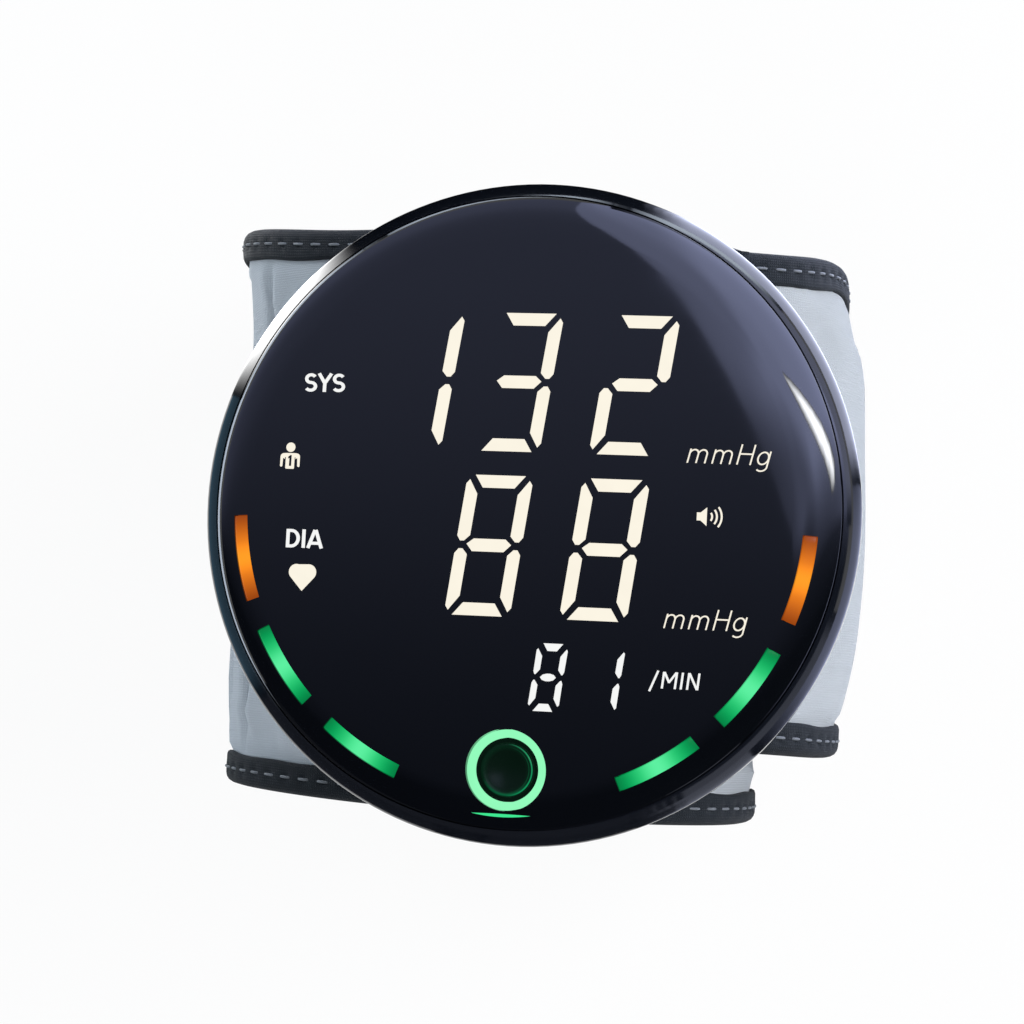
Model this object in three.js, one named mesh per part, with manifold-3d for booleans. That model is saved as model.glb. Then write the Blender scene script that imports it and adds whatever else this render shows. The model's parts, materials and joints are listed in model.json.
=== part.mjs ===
// A wrist blood pressure monitor: a round case with a dark domed front window, worn on a padded cuff.
// Millimetres, +Z up. The origin lies on the flat underside of the cuff, below the centre of the dial.
// +Z is the way the dial faces and +Y points towards the hand.
import * as THREE from "three";
import { mergeVertices } from "three/addons/utils/BufferGeometryUtils.js";
import Module from "manifold-3d";

// Round case, measured from its flat back.
const case_radius = 36;
const case_back_radius = 27;
const rim_height = 17.9;
const parting_height = 7;
const seam_rise = 3.1;
const crown_rise = 2;
const case_wall = 1.8;
const back_floor = 1.8;
const back_corner_share = 0.33;
const parting_gap = 0.15;
const lip_draw_in = 1.2;
const lip_width = 0.5;
const lip_rise = 0.2;
const window_gap = 0.2;
const window_thickness = 2;
const window_dome_drop = 1.6;
const window_edge_round = 1.1;
const window_edge_sink = 0.6;
const window_ledge_width = 1.3;
const window_ledge_thickness = 1;
const fit_gap = 0.3;
const overrun = 1;

// Push button in the lower part of the dial.
const button_edge_margin = 2.05;
const button_ring_radius = 4.25;
const button_ring_width = 0.95;
const button_gap = 0.3;
const button_travel = 0.6;
const button_dish_depth = 0.5;
const button_dish_share = 0.7;
const button_ring_depth = 1.8;
const button_stem_radius = 1.4;

// Curved light windows, three on each side, counted down from the horizontal.
const guide_count = 3;
const guide_edge_margin = 2.4;
const guide_width = 1.4;
const guide_first_angle = 12;
const guide_pitch_angle = 23.4;
const guide_span_angle = 17;

// Light shield, circuit board and what stands on the board.
const shield_thickness = 3;
const shield_ledge_width = 1;
const shield_ledge_thickness = 0.9;
const shield_side_gap = 0.3;
const board_thickness = 1.6;
const board_side_gap = 0.3;
const display_clearance = 1.4;
const display_corner_angle = 50.7;
const display_shift = 3.3;
const display_groove = 0.6;
const groove_length_share = 0.8;
const groove_place_shares = [0.12, -0.26];
const led_size = [3, 1.2, 0.8];
const switch_size = [6, 4, 1.4];
const switch_plunger_radius = 1;
const switch_plunger_height = 0.4;
const chip_size = [9, 9, 1.3];
const chip_clearance = 0.7;
const sensor_size = [8, 7, 2.6];
const usb_size = [9, 8.4, 3.2];
const usb_wall = 0.4;
const usb_mouth_depth = 6;
const usb_slot_gap = 0.4;
const usb_corner_share = 0.33;
const usb_tongue_shares = [0.7, 0.25];

// Battery, speaker, pump and valve on the floor of the case.
const battery_width = 17;
const battery_height = 6;
const battery_corner = 2;
const battery_shift = 1.2;
const battery_y = -11;
const pad_thickness = 0.3;
const pad_share = 0.8;
const speaker_radius = 5;
const speaker_height = 3.6;
const speaker_clearance = 1.8;
const speaker_angle = 198;
const speaker_cone_shares = [0.75, 0.8];
const pump_width = 12;
const pump_height = 10;
const pump_corner = 3;
const pump_face = 0;
const pump_clearance = 1.2;
const pump_row_gap = 1;
const pump_head_height = 11;
const pump_tube_room = 13.55;
const pump_cavity_radius = 4.3;
const pump_cavity_depth = 7;
const crank_radius = 2.6;
const crank_offset = 0.7;
const crank_thickness = 2.4;
const spindle_radius = 0.75;
const spindle_gap = 0.25;
const spindle_seat_depth = 6;
const diaphragm_thickness = 0.8;
const valve_size = [7, 9, 8];
const valve_clearance = 1.5;
const plunger_radius = 1.6;
const plunger_length = 4.5;
const plunger_travel = 0.6;
const valve_bore_depth = 8;
const spring_wire_radius = 0.22;
const spring_turns = 4;

// Air line.
const port_inset = 4;
const port_y = 1.2;
const port_radius = 1.8;
const port_bore = 0.9;
const manifold_size = [9, 5.6, 6];
const nipple_radius = 1.2;
const nipple_length = 2.4;
const tube_wall = 0.7;
const tube_gap = 0.15;
const tube_bend_share = 0.67;

// Screws.
const case_screw_margin = 8;
const case_screw_count = 4;
const first_screw_angle = 45;
const boss_radius = 2.6;
const boss_rib = 1.6;
const screw_head_radius = 1.9;
const screw_head_height = 1.3;
const screw_shank_radius = 0.9;
const screw_seat_height = 4;
const screw_crown_shares = [0.8, 0.4];
const driver_slot_shares = [1.3, 0.25, 0.5];
const board_screw_margin = 3.3;
const board_screw_angles = [17.7, 151.6, 208.4];
const board_screw_shank = 3.6;

// Padded cuff: the line through the middle of its thickness is a rounded loop round the wrist.
const loop_shift = -7;
const loop_half_width = 37.5;
const loop_half_height = 25;
const arm_inset = 11;
const loop_roundness = 2.3;
const arm_end_angle = -35;
const band_thickness = 5;
const band_edge_thickness = 2.4;
const band_sole = 0.5;
const cloth_thickness = 1.1;
const band_hand_side = 38;
const band_arm_side = 32.5;
const tail_hand_inset = 4;
const tail_arm_inset = 7.5;
const narrowing_start_angle = 270;
const binding_width = 4;
const binding_thickness = 0.65;
const binding_gap = 0.15;
const binding_round_share = 0.6;
const cover_crown_shares = [-1, -0.72, -0.36, 0, 0.36, 0.72, 1];
const lining_crown_shares = [-1, -0.55, 0, 0.55, 1];
const bladder_side_share = 0.72;
const bladder_span_shares = [0.12, 0.72];
const bladder_gap = 0.25;
const saddle_length = 52;
const saddle_reach = 12;
const saddle_inset = 8.5;
const saddle_thickness = 3.5;
const saddle_skirt = 5;
const saddle_corner = 4;

// Tail of the cuff, which laps over the short arm and peels away from it.
const tail_lean_width = 21;
const tail_drop = 0.8;
const tail_end_angle = 71;
const tail_hinge_gap = 0.4;
const hook_length_share = 0.36;
const hook_side_share = 0.8;
const hook_thickness = 0.9;
const end_binding_share = 0.075;

// Facets.
const round_steps = 40;
const small_steps = 14;
const tiny_steps = 10;
const loop_steps = 40;
const tail_steps = 12;
const coil_steps = 8;
const wire_sides = 6;
const tangent_share = 0.125;
const weld_distance = 1e-4;

// Places that follow from the sizes above.
const radians = THREE.MathUtils.degToRad;
const floor_to_loop = loop_half_height + band_thickness / 2 - band_sole;
const band_top = floor_to_loop + loop_half_height + band_thickness / 2;
const case_base = band_top + saddle_thickness;
const arm_half_width = loop_half_width - arm_inset;
const seam_height = rim_height + seam_rise;
const crown_height = seam_height + crown_rise;
const seam_radius = case_radius - lip_draw_in - lip_width;
const window_radius = seam_radius - window_gap;
const window_edge_height = seam_height - window_edge_sink;
const window_face_radius = window_radius - window_edge_round;
const ledge_top = crown_height - window_dome_drop - window_thickness - fit_gap / 2;
const ledge_radius = seam_radius - window_ledge_width;
const shield_base = ledge_top - window_ledge_thickness - shield_thickness + fit_gap;
const shield_top = shield_base + shield_thickness;
const shield_radius = ledge_radius - shield_side_gap;
const shield_seat_radius = ledge_radius - shield_ledge_width;
const board_top = shield_base - pad_thickness;
const board_base = board_top - board_thickness;
const board_radius = shield_seat_radius - board_side_gap;
const inside_floor = back_floor + pad_thickness;
const floor_radius = caseRadiusAt(inside_floor) - case_wall;
const guide_inner_radius = window_radius - guide_edge_margin - guide_width;
const guide_middle = guide_inner_radius + guide_width / 2;
const button_offset = window_radius - button_edge_margin - button_ring_radius;
const button_cap_radius = button_ring_radius - button_ring_width - button_gap;
const window_hole_radius = button_ring_radius + button_gap / 2;
const display_corner_radius = guide_inner_radius - display_clearance;
const display_size = [
  2 * (display_corner_radius * Math.cos(radians(display_corner_angle)) - display_shift),
  2 * display_corner_radius * Math.sin(radians(display_corner_angle)),
  windowHeightAt(guide_inner_radius) - window_thickness - fit_gap - board_top,
];
const case_screw_radius = case_radius - case_screw_margin;
const boss_top = board_base - fit_gap;
const case_screw_shank = boss_top - overrun - fit_gap - screw_seat_height;
const board_screw_radius = guide_inner_radius - board_screw_margin;
const boss_side = case_screw_radius * Math.cos(radians(first_screw_angle)) - boss_radius;
const chip_offset = boss_side - chip_clearance - chip_size[0] / 2;
const battery_size = [2 * (boss_side - fit_gap - battery_shift), battery_width, battery_height];
const speaker_offset = floor_radius - speaker_clearance - speaker_radius;
const valve_x = floor_radius - valve_clearance - valve_size[0] / 2;
const pump_length = boss_side - pump_clearance - pump_face;
const pump_y = port_y + valve_size[1] / 2 + pump_row_gap + pump_width / 2;
const pump_head_length = Math.sqrt(floor_radius ** 2 - pump_y ** 2) - pump_tube_room;
const port_place = [pump_face - pump_head_length + port_inset, port_y];
const spindle_height = inside_floor + pump_head_height / 2;
const air_height = inside_floor + manifold_size[2] / 2;
const manifold_top = inside_floor + manifold_size[2];
const sensor_base = board_base - sensor_size[2];
const tail_centre = loop_shift + loop_half_width - tail_lean_width;
const tail_rise = loop_half_height - tail_drop;
const tail_hand_side = band_hand_side - tail_hand_inset;
const tail_arm_side = band_arm_side - tail_arm_inset;

const wasm = await Module();
wasm.setup();

// Finishes, with the colours of the photographed object.
const finish = (color, roughness, metalness = 0) =>
  new THREE.MeshStandardMaterial({ color, roughness, metalness });
const gloss_black = finish(0x0b0c10, 0.08);
const case_black = finish(0x16181d, 0.18);
const inner_black = finish(0x1c1d20, 0.6);
const green_light = finish(0x1fd27a, 0.35);
const orange_light = finish(0xf07a1a, 0.35);
const white_plastic = finish(0xe9e6dc, 0.5);
const board_green = finish(0x0f4a2c, 0.5);
const chip_black = finish(0x18181a, 0.45);
const bare_steel = finish(0xb8bcc0, 0.3, 1);
const brass = finish(0xb08d4a, 0.35, 1);
const clear_silicone = finish(0xd8dcdc, 0.4);
const battery_blue = finish(0x33506e, 0.45);
const cuff_grey = finish(0xb4bac2, 0.85);
const lining_grey = finish(0x3a3d43, 0.95);
const binding_black = finish(0x2a2e34, 0.8);
const hook_black = finish(0x1d1f22, 0.9);

const monitor = new THREE.Group();
monitor.position.set(0, 0, case_base);
const cuff = new THREE.Group();
const model = new THREE.Group();
model.add(monitor, cuff);

function add(group, name, geometry, material, place = [0, 0, 0]) {
  const mesh = new THREE.Mesh(geometry, material);
  mesh.name = name;
  mesh.position.set(...place);
  group.add(mesh);
  return mesh;
}

// Turns a closed geometry into a solid whose faces point outwards.
function solid(geometry) {
  const bare = new THREE.BufferGeometry();
  bare.setAttribute("position", geometry.getAttribute("position").clone());
  bare.setIndex(geometry.index);
  const merged = mergeVertices(bare, weld_distance);
  const points = merged.getAttribute("position");
  const corners = merged.index.array;
  const kept = [];
  let volume = 0;
  const a = new THREE.Vector3();
  const b = new THREE.Vector3();
  const c = new THREE.Vector3();
  for (let i = 0; i < corners.length; i += 3) {
    const [p, q, r] = corners.slice(i, i + 3);
    if (p === q || q === r || r === p) continue;
    a.fromBufferAttribute(points, p);
    b.fromBufferAttribute(points, q);
    c.fromBufferAttribute(points, r);
    volume += a.dot(b.cross(c));
    kept.push([p, q, r]);
  }
  const facing = volume < 0 ? kept.map(([p, q, r]) => [p, r, q]) : kept;
  const mesh = new wasm.Mesh({
    numProp: 3,
    vertProperties: new Float32Array(points.array),
    triVerts: new Uint32Array(facing.flat()),
  });
  return new wasm.Manifold(mesh);
}

function geometryOf(body) {
  const mesh = body.getMesh();
  const geometry = new THREE.BufferGeometry();
  geometry.setAttribute("position", new THREE.Float32BufferAttribute(mesh.vertProperties, mesh.numProp));
  geometry.setIndex(new THREE.Uint32BufferAttribute(mesh.triVerts, 1));
  geometry.computeVertexNormals();
  return geometry;
}

function cut(base, ...tools) {
  return geometryOf(tools.reduce((body, tool) => body.subtract(solid(tool)), solid(base)));
}

function join(base, ...others) {
  return geometryOf(others.reduce((body, other) => body.add(solid(other)), solid(base)));
}

// A ring or disc turned about +Z from a closed profile of [radius, height] points.
function turned(profile, steps) {
  const points = profile.map(([radius, height]) => new THREE.Vector2(radius, height));
  points.push(points[0].clone());
  return new THREE.LatheGeometry(points, steps).rotateX(Math.PI / 2);
}

function disc(radius, low, high, steps, x = 0, y = 0) {
  const geometry = new THREE.CylinderGeometry(radius, radius, high - low, steps);
  return geometry.rotateX(Math.PI / 2).translate(x, y, (low + high) / 2);
}

function block([length, width, height], x, y, low) {
  return new THREE.BoxGeometry(length, width, height).translate(x, y, low + height / 2);
}

function roundedRectangle(length, width, corner) {
  const shape = new THREE.Shape();
  const x = length / 2 - corner;
  const y = width / 2 - corner;
  shape.absarc(x, -y, corner, -Math.PI / 2, 0);
  shape.absarc(x, y, corner, 0, Math.PI / 2);
  shape.absarc(-x, y, corner, Math.PI / 2, Math.PI);
  shape.absarc(-x, -y, corner, Math.PI, Math.PI * 1.5);
  return shape;
}

function raised(shape, low, high, curveSegments = tiny_steps / 2) {
  const settings = { depth: high - low, bevelEnabled: false, curveSegments };
  const geometry = new THREE.ExtrudeGeometry(shape, settings);
  return geometry.translate(0, 0, low);
}

// Outer radius of the case at a height above its back: a round bowl below the rim, drawn in above it.
function caseRadiusAt(height) {
  if (height <= rim_height) {
    const share = (rim_height - height) / rim_height;
    return case_back_radius + (case_radius - case_back_radius) * Math.sqrt(1 - share * share);
  }
  const share = (height - rim_height) / seam_rise;
  return case_radius - lip_draw_in * share * share;
}

// Height of the window's domed face at a distance from the dial's centre.
function windowHeightAt(radius) {
  const share = radius / window_radius;
  return crown_height - window_dome_drop * share * share;
}

function sideProfile(low, high, steps, inset) {
  return Array.from({ length: steps + 1 }, (_, i) => {
    const height = low + ((high - low) * i) / steps;
    return [caseRadiusAt(height) - inset, height];
  });
}

function polar(radius, degrees) {
  return [radius * Math.cos(radians(degrees)), radius * Math.sin(radians(degrees))];
}

const caseScrews = Array.from({ length: case_screw_count }, (_, i) => {
  const angle = first_screw_angle + (i * 360) / case_screw_count;
  return { angle, place: polar(case_screw_radius, angle) };
});
const boardScrews = board_screw_angles.map((angle) => polar(board_screw_radius, angle));

function caseScrewDiscs(radius, low, high, steps) {
  return caseScrews.map(({ place }) => disc(radius, low, high, steps, ...place));
}

// Back cover: a shallow bowl with four screw tubes and a hole for the air port.
function backCover() {
  const rimTop = parting_height - parting_gap;
  const outside = sideProfile(back_floor * back_corner_share, rimTop, 5, 0);
  const inside = sideProfile(back_floor, rimTop, 4, case_wall).reverse();
  const bowl = turned([[0, 0], [case_back_radius, 0], ...outside, ...inside, [0, back_floor]], round_steps);
  const tubes = caseScrewDiscs(boss_radius, back_floor, rimTop, small_steps);
  const holes = caseScrewDiscs(screw_shank_radius + fit_gap, -overrun, rimTop + overrun, tiny_steps);
  const recesses = caseScrewDiscs(screw_head_radius + fit_gap, -overrun, screw_seat_height, small_steps);
  const port = disc(port_radius + fit_gap, -overrun, back_floor + overrun, small_steps, ...port_place);
  add(monitor, "back_cover", cut(join(bowl, ...tubes), ...holes, ...recesses, port), case_black);
}

// Case ring: the glossy side wall, with a ledge for the window, a seat for the shield and screw bosses.
function caseRing() {
  const outside = [
    ...sideProfile(parting_height, rim_height, 4, 0).slice(0, -1),
    ...sideProfile(rim_height, seam_height, 3, 0),
  ];
  const lipRadius = caseRadiusAt(seam_height) - lip_width / 2;
  const seatHigh = shield_base - fit_gap / 2;
  const seatLow = seatHigh - shield_ledge_thickness;
  const seatFoot = seatLow - shield_ledge_width;
  const wallRadius = caseRadiusAt(shield_base) - case_wall;
  const ring = turned([
    ...outside,
    [lipRadius, seam_height + lip_rise],
    [seam_radius, seam_height + lip_rise / 2],
    [seam_radius, ledge_top],
    [ledge_radius, ledge_top],
    [ledge_radius, ledge_top - window_ledge_thickness],
    [wallRadius, ledge_top - window_ledge_thickness - lip_width],
    [wallRadius, seatHigh],
    [shield_seat_radius, seatHigh],
    [shield_seat_radius, seatLow],
    [caseRadiusAt(seatFoot) - case_wall, seatFoot],
    [caseRadiusAt(parting_height) - case_wall, parting_height],
  ], round_steps);
  const bosses = caseScrewDiscs(boss_radius, parting_height, boss_top, small_steps);
  const ribLength = caseRadiusAt(parting_height) - case_wall / 2 - case_screw_radius;
  const ribs = caseScrews.map(({ angle }) => {
    const rib = block([ribLength, boss_rib, boss_top - parting_height], ribLength / 2, 0, parting_height);
    return rib.translate(case_screw_radius, 0, 0).rotateZ(radians(angle));
  });
  const bores = caseScrewDiscs(
    screw_shank_radius + fit_gap / 2, parting_height - overrun, boss_top - overrun, tiny_steps);
  const slotHeight = usb_size[2] + 2 * usb_slot_gap;
  const slotLow = board_base - usb_size[2] - usb_slot_gap;
  const slotShape = roundedRectangle(
    usb_size[0] + 2 * usb_slot_gap, slotHeight, slotHeight * usb_corner_share);
  const slot = raised(slotShape, case_back_radius, case_radius + overrun)
    .rotateX(-Math.PI / 2)
    .translate(0, 0, slotLow + slotHeight / 2);
  add(monitor, "case_ring", cut(join(ring, ...bosses, ...ribs), ...bores, slot), case_black);
}

// Each light window is an arc; its angle is measured from +X, the left ones mirror the right ones.
const guides = [];
for (let i = 0; i < guide_count; i += 1) {
  const down = guide_first_angle + i * guide_pitch_angle;
  const glow = i === 0 ? orange_light : green_light;
  guides.push({ name: `light_guide_right_${i + 1}`, led: `led_right_${i + 1}`, angle: -down, glow });
  guides.push({ name: `light_guide_left_${i + 1}`, led: `led_left_${i + 1}`, angle: 180 + down, glow });
}

function arcShape(middle, growth) {
  const half = radians(guide_span_angle / 2) + growth / guide_inner_radius;
  const shape = new THREE.Shape();
  const start = radians(middle) - half;
  const end = radians(middle) + half;
  shape.absarc(0, 0, guide_inner_radius + guide_width + growth, start, end);
  shape.absarc(0, 0, guide_inner_radius - growth, end, start, true);
  return shape;
}

// Front window: a dark domed disc with a rounded edge, slots for the light guides and the button's hole.
const face_steps = 5;
const rear_steps = 2;
const edge_angles = [15, 45, 75];
function frontWindow() {
  const face = Array.from({ length: face_steps + 1 }, (_, i) => {
    const radius = (window_face_radius * (face_steps - i)) / face_steps;
    return [radius, windowHeightAt(radius)];
  });
  const rear = Array.from({ length: rear_steps + 1 }, (_, i) => {
    const radius = (window_face_radius * i) / rear_steps;
    return [radius, windowHeightAt(radius) - window_thickness];
  });
  const edgeLow = ledge_top + fit_gap / 2;
  const edgeRise = windowHeightAt(window_face_radius) - window_edge_height;
  const round = edge_angles.map((angle) => {
    const [out, up] = polar(1, angle);
    return [window_face_radius + window_edge_round * out, window_edge_height + edgeRise * up];
  });
  const profile = [...rear, [window_face_radius, edgeLow], [window_radius, edgeLow], ...round, ...face];
  const slots = guides.map(({ angle }) => raised(arcShape(angle, fit_gap / 2), 0, crown_height + overrun));
  const hole = disc(window_hole_radius, 0, crown_height + overrun, tiny_steps * 2, 0, -button_offset);
  add(monitor, "display_window", cut(turned(profile, round_steps), ...slots, hole), gloss_black);
}

// Light shield: an opaque plate that carries the display and keeps the light of each guide apart.
function lightShield() {
  const low = shield_base - overrun;
  const high = shield_top + overrun;
  const plate = disc(shield_radius, shield_base, shield_top, round_steps);
  const opening = block(
    [display_size[0] + 2 * fit_gap, display_size[1] + 2 * fit_gap, high - low], display_shift, 0, low);
  const slots = guides.map(({ angle }) => raised(arcShape(angle, fit_gap), low, high));
  const hole = disc(button_stem_radius + fit_gap, low, high, small_steps, 0, -button_offset);
  const switchRoom = switch_size.map((length) => length + 2 * fit_gap);
  const pocket = block(switchRoom, 0, -button_offset, board_top);
  const screwHoles = boardScrews.map((place) =>
    disc(screw_shank_radius + fit_gap / 2, low, shield_top - overrun / 2, tiny_steps, ...place));
  add(monitor, "light_shield", cut(plate, opening, ...slots, hole, pocket, ...screwHoles), inner_black);
}

// Light guides run from the small lamps on the board up to the face of the window.
function lightGuides() {
  const top = windowHeightAt(guide_inner_radius + guide_width);
  for (const { name, led, angle, glow } of guides) {
    add(monitor, name, raised(arcShape(angle, 0), board_top + led_size[2], top), glow);
    const lamp = new THREE.BoxGeometry(led_size[1], led_size[0], led_size[2]).rotateZ(radians(angle));
    add(monitor, led, lamp, white_plastic, [...polar(guide_middle, angle), board_top + led_size[2] / 2]);
  }
}

// Push button: a dished cap that slides in a fixed glowing ring and presses a small switch.
function pushButton() {
  const face = windowHeightAt(button_offset + button_ring_radius);
  const ringInner = button_ring_radius - button_ring_width;
  const ringLow = face - button_ring_depth;
  const ringOuter = window_hole_radius - fit_gap / 2;
  add(monitor, "button_ring", turned([
    [ringInner, ringLow],
    [ringOuter, ringLow],
    [ringOuter, face],
    [ringInner, face],
  ], tiny_steps * 2), green_light, [0, -button_offset, 0]);
  const plungerTop = board_top + switch_size[2] + switch_plunger_height;
  const stemLow = plungerTop + button_travel + fit_gap / 2;
  const skirtLow = shield_top + button_travel + fit_gap;
  add(monitor, "button_cap", turned([
    [0, stemLow],
    [button_stem_radius, stemLow],
    [button_stem_radius, skirtLow],
    [button_cap_radius - button_gap, skirtLow],
    [button_cap_radius, skirtLow + fit_gap],
    [button_cap_radius, face - button_gap / 2],
    [button_cap_radius - button_gap, face],
    [button_cap_radius * button_dish_share, face - button_dish_depth * button_dish_share],
    [0, face - button_dish_depth],
  ], tiny_steps * 2), gloss_black, [0, -button_offset, 0]);
  const body = block(switch_size, 0, -button_offset, board_top);
  const plunger = disc(switch_plunger_radius, board_top, plungerTop, tiny_steps, 0, -button_offset);
  add(monitor, "button_switch", join(body, plunger), chip_black);
}

// Circuit board with its parts: display above it, chip, pressure sensor and charging socket below it.
function circuitBoard() {
  const board = disc(board_radius, board_base, board_top, round_steps);
  const holes = boardScrews.map((place) =>
    disc(screw_shank_radius + fit_gap, board_base - overrun, board_top + overrun, tiny_steps, ...place));
  add(monitor, "main_board", cut(board, ...holes), board_green);
  const display = block(display_size, display_shift, 0, board_top);
  const grooves = groove_place_shares.map((share) => block(
    [display_size[0] * groove_length_share, display_groove, display_groove + overrun],
    display_shift, display_size[1] * share, board_top + display_size[2] - display_groove));
  add(monitor, "led_display", cut(display, ...grooves), white_plastic);
  const chip = block(chip_size, chip_offset, -chip_offset, board_base - chip_size[2]);
  add(monitor, "control_chip", chip, chip_black);
  const sensor = block(sensor_size, ...port_place, sensor_base);
  const noseLow = manifold_top + nipple_length / 2 + fit_gap;
  const nose = disc(nipple_radius, noseLow, sensor_base + overrun, tiny_steps, ...port_place);
  add(monitor, "pressure_sensor", join(sensor, nose), white_plastic);
  const usbEnd = caseRadiusAt(rim_height) - case_wall - fit_gap;
  const usbMiddle = board_base - usb_size[2] / 2;
  const mouthSize = [usb_size[0] - 2 * usb_wall, usb_size[2] - 2 * usb_wall];
  const mouthLow = usb_size[1] - usb_mouth_depth;
  const shell = raised(
    roundedRectangle(usb_size[0], usb_size[2], usb_size[2] * usb_corner_share), 0, usb_size[1]);
  const mouth = raised(
    roundedRectangle(...mouthSize, mouthSize[1] * usb_corner_share), mouthLow, usb_size[1] + overrun);
  const tongueSize = usb_tongue_shares.map((share, i) => mouthSize[i] * share);
  const tongue = block([...tongueSize, usb_mouth_depth], 0, 0, mouthLow - usb_wall);
  const socket = join(cut(shell, mouth), tongue).rotateX(-Math.PI / 2);
  add(monitor, "charging_socket", socket, bare_steel, [0, usbEnd - usb_size[1], usbMiddle]);
}

// Battery on its pad, and the round speaker, on the floor of the back cover.
function powerAndSound() {
  const [length, width, height] = battery_size;
  const cell = raised(roundedRectangle(length, width, battery_corner), 0, height);
  add(monitor, "battery_cell", cell, battery_blue, [battery_shift, battery_y, inside_floor]);
  const padOutline = roundedRectangle(length * pad_share, width * pad_share, battery_corner);
  const pad = raised(padOutline, 0, pad_thickness);
  add(monitor, "battery_pad", pad, white_plastic, [battery_shift, battery_y, back_floor]);
  const place = polar(speaker_offset, speaker_angle);
  const canTop = back_floor + speaker_height;
  const can = disc(speaker_radius, back_floor, canTop, small_steps, ...place);
  const [coneShare, depthShare] = speaker_cone_shares;
  const coneLow = back_floor + speaker_height * depthShare;
  const cone = disc(speaker_radius * coneShare, coneLow, canTop + overrun, small_steps, ...place);
  add(monitor, "speaker", cut(can, cone), chip_black);
}

// Air pump: motor, turning spindle with its offset crank, and a head with a rubber diaphragm.
function alongX(geometry) {
  return geometry.rotateY(Math.PI / 2);
}

function airPump() {
  const headX = pump_face - pump_head_length / 2;
  const headSize = [pump_head_length, pump_width, pump_head_height];
  const motorShape = roundedRectangle(pump_height, pump_width, pump_corner);
  const motorBody = alongX(raised(motorShape, 0, pump_length)).translate(pump_face, pump_y, spindle_height);
  const seat = alongX(disc(spindle_radius + spindle_gap, -overrun, spindle_seat_depth, tiny_steps))
    .translate(pump_face, pump_y, spindle_height);
  add(monitor, "pump_motor", cut(motorBody, seat), bare_steel);
  const crankReach = pump_cavity_depth - diaphragm_thickness - 2 * fit_gap;
  const shaft = alongX(disc(spindle_radius, 0, spindle_seat_depth - spindle_gap + crankReach, tiny_steps))
    .translate(pump_face - crankReach, pump_y, spindle_height);
  const crank = alongX(disc(crank_radius, 0, crank_thickness, small_steps))
    .translate(pump_face - crankReach, pump_y, spindle_height - crank_offset);
  add(monitor, "pump_spindle", join(shaft, crank), bare_steel);
  const head = block(headSize, headX, pump_y, inside_floor);
  const cavity = alongX(disc(pump_cavity_radius, 0, pump_cavity_depth + overrun, small_steps))
    .translate(pump_face - pump_cavity_depth, pump_y, spindle_height);
  const outlet = alongX(disc(nipple_radius, 0, nipple_length + overrun, tiny_steps))
    .translate(pump_face - pump_head_length - nipple_length, pump_y, air_height);
  add(monitor, "pump_head", cut(join(head, outlet), cavity), inner_black);
  const rubber = alongX(disc(pump_cavity_radius - fit_gap, 0, diaphragm_thickness, small_steps))
    .translate(pump_face - pump_cavity_depth + fit_gap / 2, pump_y, spindle_height);
  add(monitor, "pump_diaphragm", rubber, chip_black);
}

// A coil of round wire about +Z.
function coil(radius, height, turns, wire) {
  const steps = turns * coil_steps;
  const points = Array.from({ length: steps + 1 }, (_, i) => {
    const angle = (2 * Math.PI * i) / coil_steps;
    const z = (height * i) / steps;
    return new THREE.Vector3(radius * Math.cos(angle), radius * Math.sin(angle), z);
  });
  const section = new THREE.Shape();
  section.absarc(0, 0, wire, 0, 2 * Math.PI);
  return new THREE.ExtrudeGeometry(section, {
    steps,
    curveSegments: wire_sides / 2,
    bevelEnabled: false,
    extrudePath: new THREE.CatmullRomCurve3(points),
  });
}

// Exhaust valve: a coil body with a sprung plunger that lets the cuff down.
function exhaustValve() {
  const valveY = port_y;
  const top = inside_floor + valve_size[2];
  const body = block(valve_size, valve_x, valveY, inside_floor);
  const springLow = top - valve_bore_depth + overrun;
  const bore = disc(plunger_radius + fit_gap, springLow, top + overrun, small_steps, valve_x, valveY);
  const inletX = valve_x - valve_size[0] / 2;
  const inlet = disc(nipple_radius, 0, nipple_length + overrun, tiny_steps)
    .rotateY(Math.PI / 2)
    .translate(inletX - nipple_length, valveY, air_height);
  add(monitor, "valve_body", join(cut(body, bore), inlet), chip_black);
  const plungerTop = top + plunger_travel;
  const plungerLow = plungerTop - plunger_length;
  const plunger = disc(plunger_radius, plungerLow, plungerTop, small_steps, valve_x, valveY);
  add(monitor, "valve_plunger", plunger, brass);
  const springRoom = 2 * spring_wire_radius;
  const springHeight = plungerLow - springLow - 2 * springRoom;
  const spring = coil(plunger_radius - springRoom, springHeight, spring_turns, spring_wire_radius);
  add(monitor, "valve_spring", spring, bare_steel, [valve_x, valveY, springLow + springRoom]);
}

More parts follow.
